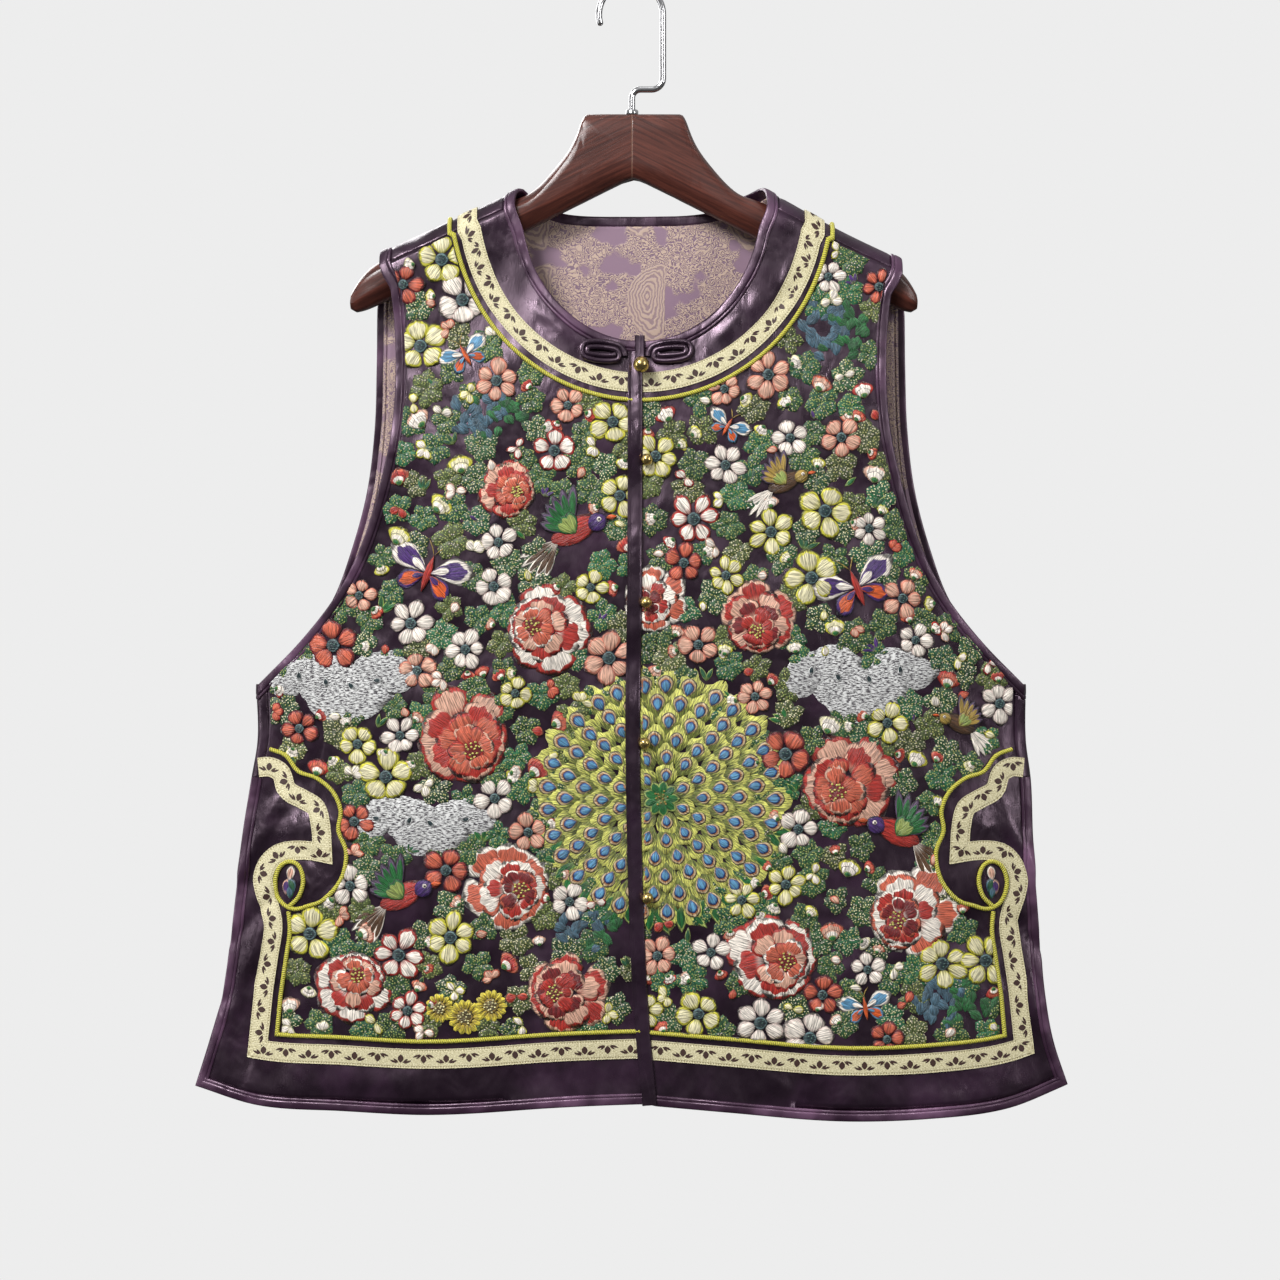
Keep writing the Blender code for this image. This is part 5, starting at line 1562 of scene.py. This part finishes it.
def leaf_spray(groups, at, size):
    """A lobed leaf in dark silk, covered with seed stitches."""
    start = rng.uniform(0, 360)
    count = rng.choice((5, 5, 6))
    ground = varied(rng.choice((LEAF, LEAF, MOSS, PINE)), 0.3)
    dots = varied(rng.choice((LIME, LIME, CREAMY)), 0.25)
    narrow = rng.uniform(0.72, 1.0)
    for k in range(count):
        degrees = start + 360 / count * k + rng.uniform(-10, 10)
        stretch = narrow + (1 - narrow) * abs(math.cos(math.radians(degrees - start)))
        length = size * stretch * rng.uniform(0.88, 1.08)
        wide, lift = size * rng.uniform(0.70, 0.88), 0.2 + 0.10 * k
        patch(groups["seed"], at, degrees, length, wide, 1.1, ground, dots, lift, rng.uniform(-0.12, 0.12), 0.06)


def green_leaves(groups, at, degrees, size, count=3, colour=GREEN):
    """Pointed leaves in plain satin stitch."""
    for k in range(count):
        turn = (k - (count - 1) / 2) * 38 + rng.uniform(-6, 6)
        patch(
            groups["stitch"], at, degrees + turn, size * rng.uniform(0.8, 1.1), size * 0.34, 1.0,
            varied(colour, 0.25), varied(LIME, 0.2), 0.55, rng.uniform(-0.15, 0.15), outline="leaf",
        )


def butterfly(groups, at, size, degrees):
    """A butterfly with two pairs of wings, a slim body and feelers."""
    stitch = groups["stitch"]
    upper, lower, body = (VIOLET, ORANGE, RED) if size > 22 else (SKY, ORANGE, ORANGE)
    for turn, reach, fill, edge in ((62, size, upper, WHITE), (118, size * 0.72, lower, upper)):
        for side in (1, -1):
            aim = degrees + side * turn
            patch(
                stitch, at, aim, reach, 0.62 * reach, 1.2, varied(fill), edge, 0.9, 0.12 * side, 0.05,
                outline="wing",
            )
            patch(stitch, at, aim, 0.55 * reach, 0.26 * reach, 0.9, varied(edge), fill, 1.7, outline="wing")
    root = away(at, degrees, -0.42 * size)
    patch(stitch, root, degrees, size * 0.86, size * 0.17, 1.4, body, varied(body), 2.0, outline="leaf")
    head = away(at, degrees, 0.4 * size)
    for side in (-1, 1):
        aim = degrees + 24 * side
        patch(stitch, head, aim, size * 0.42, 0.9, 0.5, GOLD, GOLD, 1.2, 0.2 * side, outline="leaf")


def songbird(groups, at, size, f):
    """A small bird on the wing, which flies right (1) or left (-1)."""
    wing, breast, head, tail = (GREEN, RED, VIOLET, BROWN) if size > 30 else (GOLD, BROWN, GOLD, WHITE)

    def part(x, y, degrees, long, wide, rise, fill, rim, lift, bend=0.0, outline="round"):
        root = (at[0] + f * size * x, at[1] + size * y)
        turned = degrees if f > 0 else 180 - degrees
        patch(groups["stitch"], root, turned, size * long, size * wide, rise, fill, rim, lift, bend, outline=outline)

    for k in range(5):
        long = 1.0 - 0.07 * abs(k - 2)
        part(-0.30, -0.10, 206 + 11 * k, long, 0.15, 0.9, varied(tail), WHITE, 0.6 + 0.08 * k, outline="wing")
    part(-0.45, -0.16, 24, 1.02, 0.50, 1.8, breast, varied(breast), 1.0, 0.06 * f)
    for k in range(6):
        long, lift = 0.92 - 0.05 * k, 2.0 + 0.09 * k
        part(-0.02, 0.02, 96 + 15 * k, long, 0.20, 1.1, varied(wing), (0.10, 0.06, 0.12), lift, -0.10 * f, "wing")
    for k in range(3):
        part(0.02, 0.0, 110 + 22 * k, 0.44, 0.24, 1.0, varied(LIME), wing, 2.9, outline="petal")
    part(0.28, 0.10, 38, 0.40, 0.36, 1.7, head, varied(head), 2.2)
    part(0.60, 0.30, 8, 0.22, 0.10, 1.0, ORANGE, ORANGE, 2.4, outline="leaf")
    for across, wide, rise, tone, lift in ((0.05, 0.10, 0.7, WHITE, 3.7), (0.02, 0.045, 0.5, (0.01,) * 3, 4.3)):
        root = (at[0] + f * size * 0.47 - size * across, at[1] + size * 0.27)
        patch(groups["stitch"], root, 0, size * wide, size * wide, rise, tone, tone, lift, outline="round")


def cloud_scroll(groups, at, wide, high):
    """A rolling cloud in long pale stitches, with small curls at its rim."""
    s, z = at
    for k in range(CLOUD_LOBES):
        share = k / (CLOUD_LOBES - 1)
        rng.random()  # Nothing uses this draw, and the ones after it rely on it
        x = s + (share - 0.5) * wide + rng.uniform(-2, 2)
        size = high * (1.1 - 0.5 * abs(2 * share - 1))
        root = (x - size * 0.62, z + high * 0.25 * math.sin(share * 9.0))
        patch(
            groups["cloud"], root, rng.uniform(-12, 12), size * 1.25, size, 1.2, varied(SILVER), varied(WHITE),
            0.6 + 0.1 * (k % 3), 0.05, 0.05, outline="round",
        )
    curls = CLOUD_LOBES // 2
    for k in range(curls):
        share = (k + 0.5) / curls
        root = (s + (share - 0.5) * wide - 3, z + high * 0.1 * math.sin(9 * share))
        patch(groups["stitch"], root, rng.uniform(0, 180), 7.0, 4.0, 0.6, EYE, SILVER, 1.9, outline="round")


def pine_cloud(groups, at, wide, high):
    """A soft mass of short brushed stitches, bluer on its left."""
    for _ in range(int(wide * high / 42)):
        a, r = rng.uniform(0, 2 * math.pi), math.sqrt(rng.random())
        x, y = wide / 2 * r * math.cos(a), high / 2 * r * math.sin(a)
        colour = SLATE if x < (rng.random() - 0.5) * wide * 0.6 + wide * 0.1 else GREEN
        patch(
            groups["bristle"], (at[0] + x, at[1] + y), rng.uniform(20, 160), rng.uniform(8, 12), rng.uniform(6, 9), 1.1,
            varied(colour, 0.25), varied(colour, 0.4), 0.3 + 0.5 * rng.random(), rng.uniform(-0.2, 0.2), 0.05, 0.05,
        )


def great_bloom(groups, at, radius):
    """A great chrysanthemum: rings of feathery yellow-green petals, each with a blue and orange heart."""
    bristle, stitch = groups["bristle"], groups["stitch"]
    rings = 6
    for ring in range(rings):
        near = radius * (1 - (ring + 1) / (rings + 0.6))
        size, lift = radius * (0.27 - 0.012 * ring), 0.30 * ring
        count = max(6, round(2 * math.pi * (near + size * 0.5) / (size * 0.80)))
        for k in range(count):
            aim = 360 / count * (k + 0.5 * (ring % 2)) + rng.uniform(-1.5, 1.5)
            root = away(at, aim, near)
            inner, outer = away(root, aim, 0.26 * size), away(root, aim, 0.30 * size)
            green, straw = varied((0.17, 0.20, 0.03), 0.2), varied((0.66, 0.66, 0.14), 0.15)
            patch(bristle, root, aim, size * 1.12, size * 0.98, 1.3, green, straw, 0.5 + lift, 0.0, 0.05, 0.07)
            rust, tan = (0.42, 0.17, 0.08), varied((0.55, 0.42, 0.24))
            patch(stitch, inner, aim, size * 0.62, size * 0.52, 0.9, rust, tan, 1.6 + lift)
            sky, blue = varied(SKY), varied((0.04, 0.10, 0.30))
            patch(stitch, outer, aim, size * 0.44, size * 0.34, 0.9, sky, blue, 2.3 + lift)
    for k in range(9):
        patch(stitch, at, 40 * k, radius * 0.17, radius * 0.10, 1.0, varied(GREEN), LIME, 2.6)
    seeds_at(groups["knot"], at, radius * 0.07, 12, GOLD, 1.6, 3.7)


def sunflower(groups, at, radius):
    """A small yellow flower with a fringe of petals and a heart of pale knots."""
    for k in range(14):
        degrees = 360 / 14 * k
        root, lift = away(at, degrees, 0.40 * radius), 0.9 + 0.05 * (k % 3)
        tones = ((0.45, 0.33, 0.02), (0.75, 0.62, 0.05))
        patch(groups["bristle"], root, degrees, radius * 0.62, radius * 0.40, 1.0, *tones, lift)
    heart = (at[0] - radius * 0.5, at[1])
    patch(groups["stitch"], heart, 0, radius, radius, 1.0, (0.10, 0.07, 0.02), GOLD, 1.3, outline="round")
    seeds_at(groups["knot"], at, radius * 0.42, 13, (0.74, 0.68, 0.34), 1.6, 2.3)


pieces = {side: {kind: [] for kind in STITCHES} for side, sign in SIDES}
taken = []


def side_of(at):
    """The front that a spot lies on."""
    return pieces["left" if at[0] < centre_front(at[1]) else "right"]


def on_both(maker, at, reach, *more):
    """Makes a motif on its own front, and again on the other one where it crosses the centre."""
    state = rng.getstate()
    middle = float(centre_front(at[1]))
    maker(side_of(at), at, *more)
    if abs(at[0] - middle) < reach:
        rng.setstate(state)
        maker(side_of((2 * middle - at[0], at[1])), at, *more)


# Each motif's maker, the share of its size that it may reach past the centre, and the share that it takes up
MAKERS = {
    "bloom": (great_bloom, 1.0, 0.98), "peony": (peony, 1.0, 0.95), "bird": (songbird, 1.0, 0.72),
    "butterfly": (butterfly, 1.0, 0.62), "cloud": (cloud_scroll, 0.5, 0.42), "pine": (pine_cloud, 0.5, 0.40),
    "sunflower": (sunflower, 1.0, 1.0),
}
for kind, s, z, size, *more in MOTIFS:
    maker, reach, share = MAKERS[kind]
    if kind == "peony":
        more = PEONY_COLOURS[more[0]]
    on_both(maker, (s, z), size * reach, size, *more)
    if kind == "bloom":
        for degrees in range(200, 345, 16):
            root = away((s, z), degrees, size * 0.92)
            green_leaves(side_of(root), root, degrees, 26)
    if kind == "cloud":
        taken += [(s + size * 0.3 * k, z, more[0] * share) for k in (-1, 0, 1)]
    elif kind == "pine":
        taken += [(s + size * 0.25 * k, z, more[0] * share) for k in (-1, 1)]
    else:
        taken.append((s, z, size * share))


def spots(step, apart, margin, share, clear):
    """Evenly scattered spots of the field, apart from each other and clear of the larger motifs."""
    found = []
    tries = [(float(s), float(z)) for s in np.arange(-264, 264, step) for z in np.arange(-742, -184, step)]
    rng.shuffle(tries)
    for s, z in tries:
        s, z = s + rng.uniform(-0.5, 0.5) * step, z + rng.uniform(-0.5, 0.5) * step
        if any((s - a) ** 2 + (z - b) ** 2 < apart**2 for a, b in found):
            continue
        if any((s - a) ** 2 + (z - b) ** 2 < (r * share + clear) ** 2 for a, b, r in taken):
            continue
        if inside_field(s, z, margin):
            found.append((s, z))
    return found


for at in spots(7.0, 30.0, 7.0, 1.0, 12.0):
    if rng.random() < 0.72:
        groups = side_of(at)
        colours = BLOSSOM_COLOURS[rng.choice(("white", "white", "pink", "lemon", "lemon", "rose", "red"))]
        radius = rng.choice((12.5, 13.5, 14.5, 16.5, 19.0))
        blossom(groups, at, radius, *colours, count=rng.choice((5, 5, 6)))
        for _ in range(rng.choice((0, 1, 1, 2))):
            degrees = math.degrees(rng.uniform(0, 2 * math.pi))
            beside = away(at, degrees, radius)
            half_flower(groups, beside, degrees, rng.uniform(7, 9), *rng.choice(PETAL_PAIRS))
        taken.append((*at, radius * 0.9))
    else:
        root = (at[0], at[1] - 5)
        half_flower(side_of(at), root, rng.uniform(20, 160), rng.uniform(11, 14), *rng.choice(PETAL_PAIRS))
        taken.append((*at, 7.0))
for at in spots(5.0, 18.0, 4.0, 0.82, 5.0):
    leaf_spray(side_of(at), at, rng.uniform(10.5, 14.0))
for at in spots(5.0, 20.0, 3.5, 1.0, 5.5):
    groups, root = side_of(at), (at[0], at[1] - 3)
    draw = rng.random()
    fill, rim = rng.choice(PETAL_PAIRS)
    if draw < 0.30:
        half_flower(groups, root, rng.uniform(0, 360), rng.uniform(7, 9), fill, rim)
    elif draw < 0.80:
        for turn in rng.sample((0, 70, 140, 210, 280), rng.choice((1, 2, 3))):
            patch(
                groups["stitch"], at, turn + rng.uniform(-15, 15), rng.uniform(7, 9), rng.uniform(5.5, 7.5), 1.5,
                varied(fill), varied(rim), 1.2, rng.uniform(-0.2, 0.2), 0.05,
            )
    else:
        degrees, size = rng.uniform(30, 150), rng.uniform(9, 13)
        green_leaves(groups, root, degrees, size, rng.choice((1, 2, 3)), rng.choice((GREEN, PINE, VIOLET)))

for side, sign in SIDES:
    for kind, group in pieces[side].items():
        stitched_piece(f"embroidery_{kind}_{side}", group, kind, sign)
for side, sign in SIDES:
    petals = []
    for fill, rim, ds, dz, degrees in LOOP_PETALS:
        turned = degrees if sign > 0 else 180 - degrees
        root = (sign * (LOOP_MIDDLE[0] + ds), LOOP_MIDDLE[1] + dz)
        patch(petals, root, turned, 11.0, 6.5, 1.2, fill, rim, 0.5)
    stitched_piece(f"loop_petals_{side}", petals, "stitch", sign, bounded=False)


# Woven motifs of the ribbon

def ribbon_motifs(name, path):
    """A row of small brown buds with two pairs of leaves each, turned up and down in turn."""
    path = evened(path, 2.0)
    length = lengths_along(path)[-1]
    count = int(length // RIBBON_PITCH)
    at = (np.arange(count) + 0.5) * length / count
    centre = points_at(path, at)
    ahead = points_at(path, at + 3) - points_at(path, at - 3)
    ahead /= np.linalg.norm(ahead, axis=1, keepdims=True)
    aside = np.stack([-ahead[:, 1], ahead[:, 0]], -1)
    mesh, u, v = grids(3, 5, count * len(BUD_PARTS))
    body = np.sin(math.pi * np.clip(v, 0.002, 0.998)) ** 0.8
    points = np.empty((count, len(BUD_PARTS), len(u), 2))
    for k in range(count):
        flip = 1 if k % 2 == 0 else -1
        for p, (x, y, degrees, long, wide) in enumerate(BUD_PARTS):
            cosine, sine = math.cos(math.radians(degrees)), math.sin(math.radians(degrees))
            forward = x + cosine * long * v - sine * wide / 2 * body * u
            across = (y + sine * long * v + cosine * wide / 2 * body * u) * flip
            points[k, p] = centre[k] + forward[:, None] * ahead[k] + across[:, None] * aside[k]
    place_points(mesh, hung(points, RIBBON_TOP + 0.26))
    facing(mesh, (0, 1 if "back" in name else -1, 0))
    return link(name, mesh, [BUD_BROWN], "ribbon_cloth")


for name, path in ribbon_paths.items():
    ribbon_motifs(name.replace("ribbon", "motifs"), path)


# Stage, light and camera

def backdrop():
    """A pale studio all round: a floor and a dome, which glow evenly and light nothing."""
    bm = bmesh.new()
    bmesh.ops.create_uvsphere(bm, u_segments=48, v_segments=24, radius=9.0)
    for point in bm.verts:
        point.co.z = max(point.co.z, FLOOR_Z)
    bmesh.ops.reverse_faces(bm, faces=bm.faces)
    mesh = finished(bm, "backdrop")
    made = bpy.data.objects.new("backdrop", mesh)
    bpy.context.scene.collection.objects.link(made)
    paper, look = finish("pale_paper", (0.0, 0.0, 0.0), 1.0, Specular_IOR_Level=0.0)
    look.give("Emission Color", (0.847, 0.847, 0.847))
    look.give("Emission Strength", 1.0)
    mesh.materials.append(paper)
    mesh.shade_smooth()
    made.visible_diffuse = made.visible_glossy = made.visible_transmission = made.visible_shadow = False
    made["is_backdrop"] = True


def lamp(name, place, aim, wide, high, power):
    """A soft box."""
    data = bpy.data.lights.new(name, "AREA")
    data.shape = "RECTANGLE"
    data.size, data.size_y = wide, high
    data.energy = power
    made = bpy.data.objects.new(name, data)
    bpy.context.scene.collection.objects.link(made)
    made.location = place
    made.rotation_euler = (Vector(aim) - Vector(place)).to_track_quat("-Z", "Y").to_euler()


backdrop()
for row in LAMPS:
    lamp(*row)
world = bpy.data.worlds.new("studio")
bpy.context.scene.world = world
world.use_nodes = True
studio = Look(world.node_tree)
glow = studio.ramp(studio.parts(studio.add("TexCoord").outputs["Generated"])[2], -0.5, 0.8, 0.07, 0.38)
background = world.node_tree.nodes["Background"]
studio.join(background.inputs["Color"], studio.point(glow, glow, glow))
background.inputs["Strength"].default_value = 1.0
bpy.context.scene.view_settings.view_transform = "Standard"

camera = bpy.data.cameras.new("camera")
camera.lens = 88.0
camera.sensor_width = 36.0
view = bpy.data.objects.new("camera", camera)
bpy.context.scene.collection.objects.link(view)
view.location = (0.0063, -2.2, -0.460)
view.rotation_euler = (math.pi / 2, 0.0, 0.0)
bpy.context.scene.camera = view

low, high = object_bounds()
{"cad": [list(cad_low), list(cad_high)], "visual": [list(low), list(high)]}
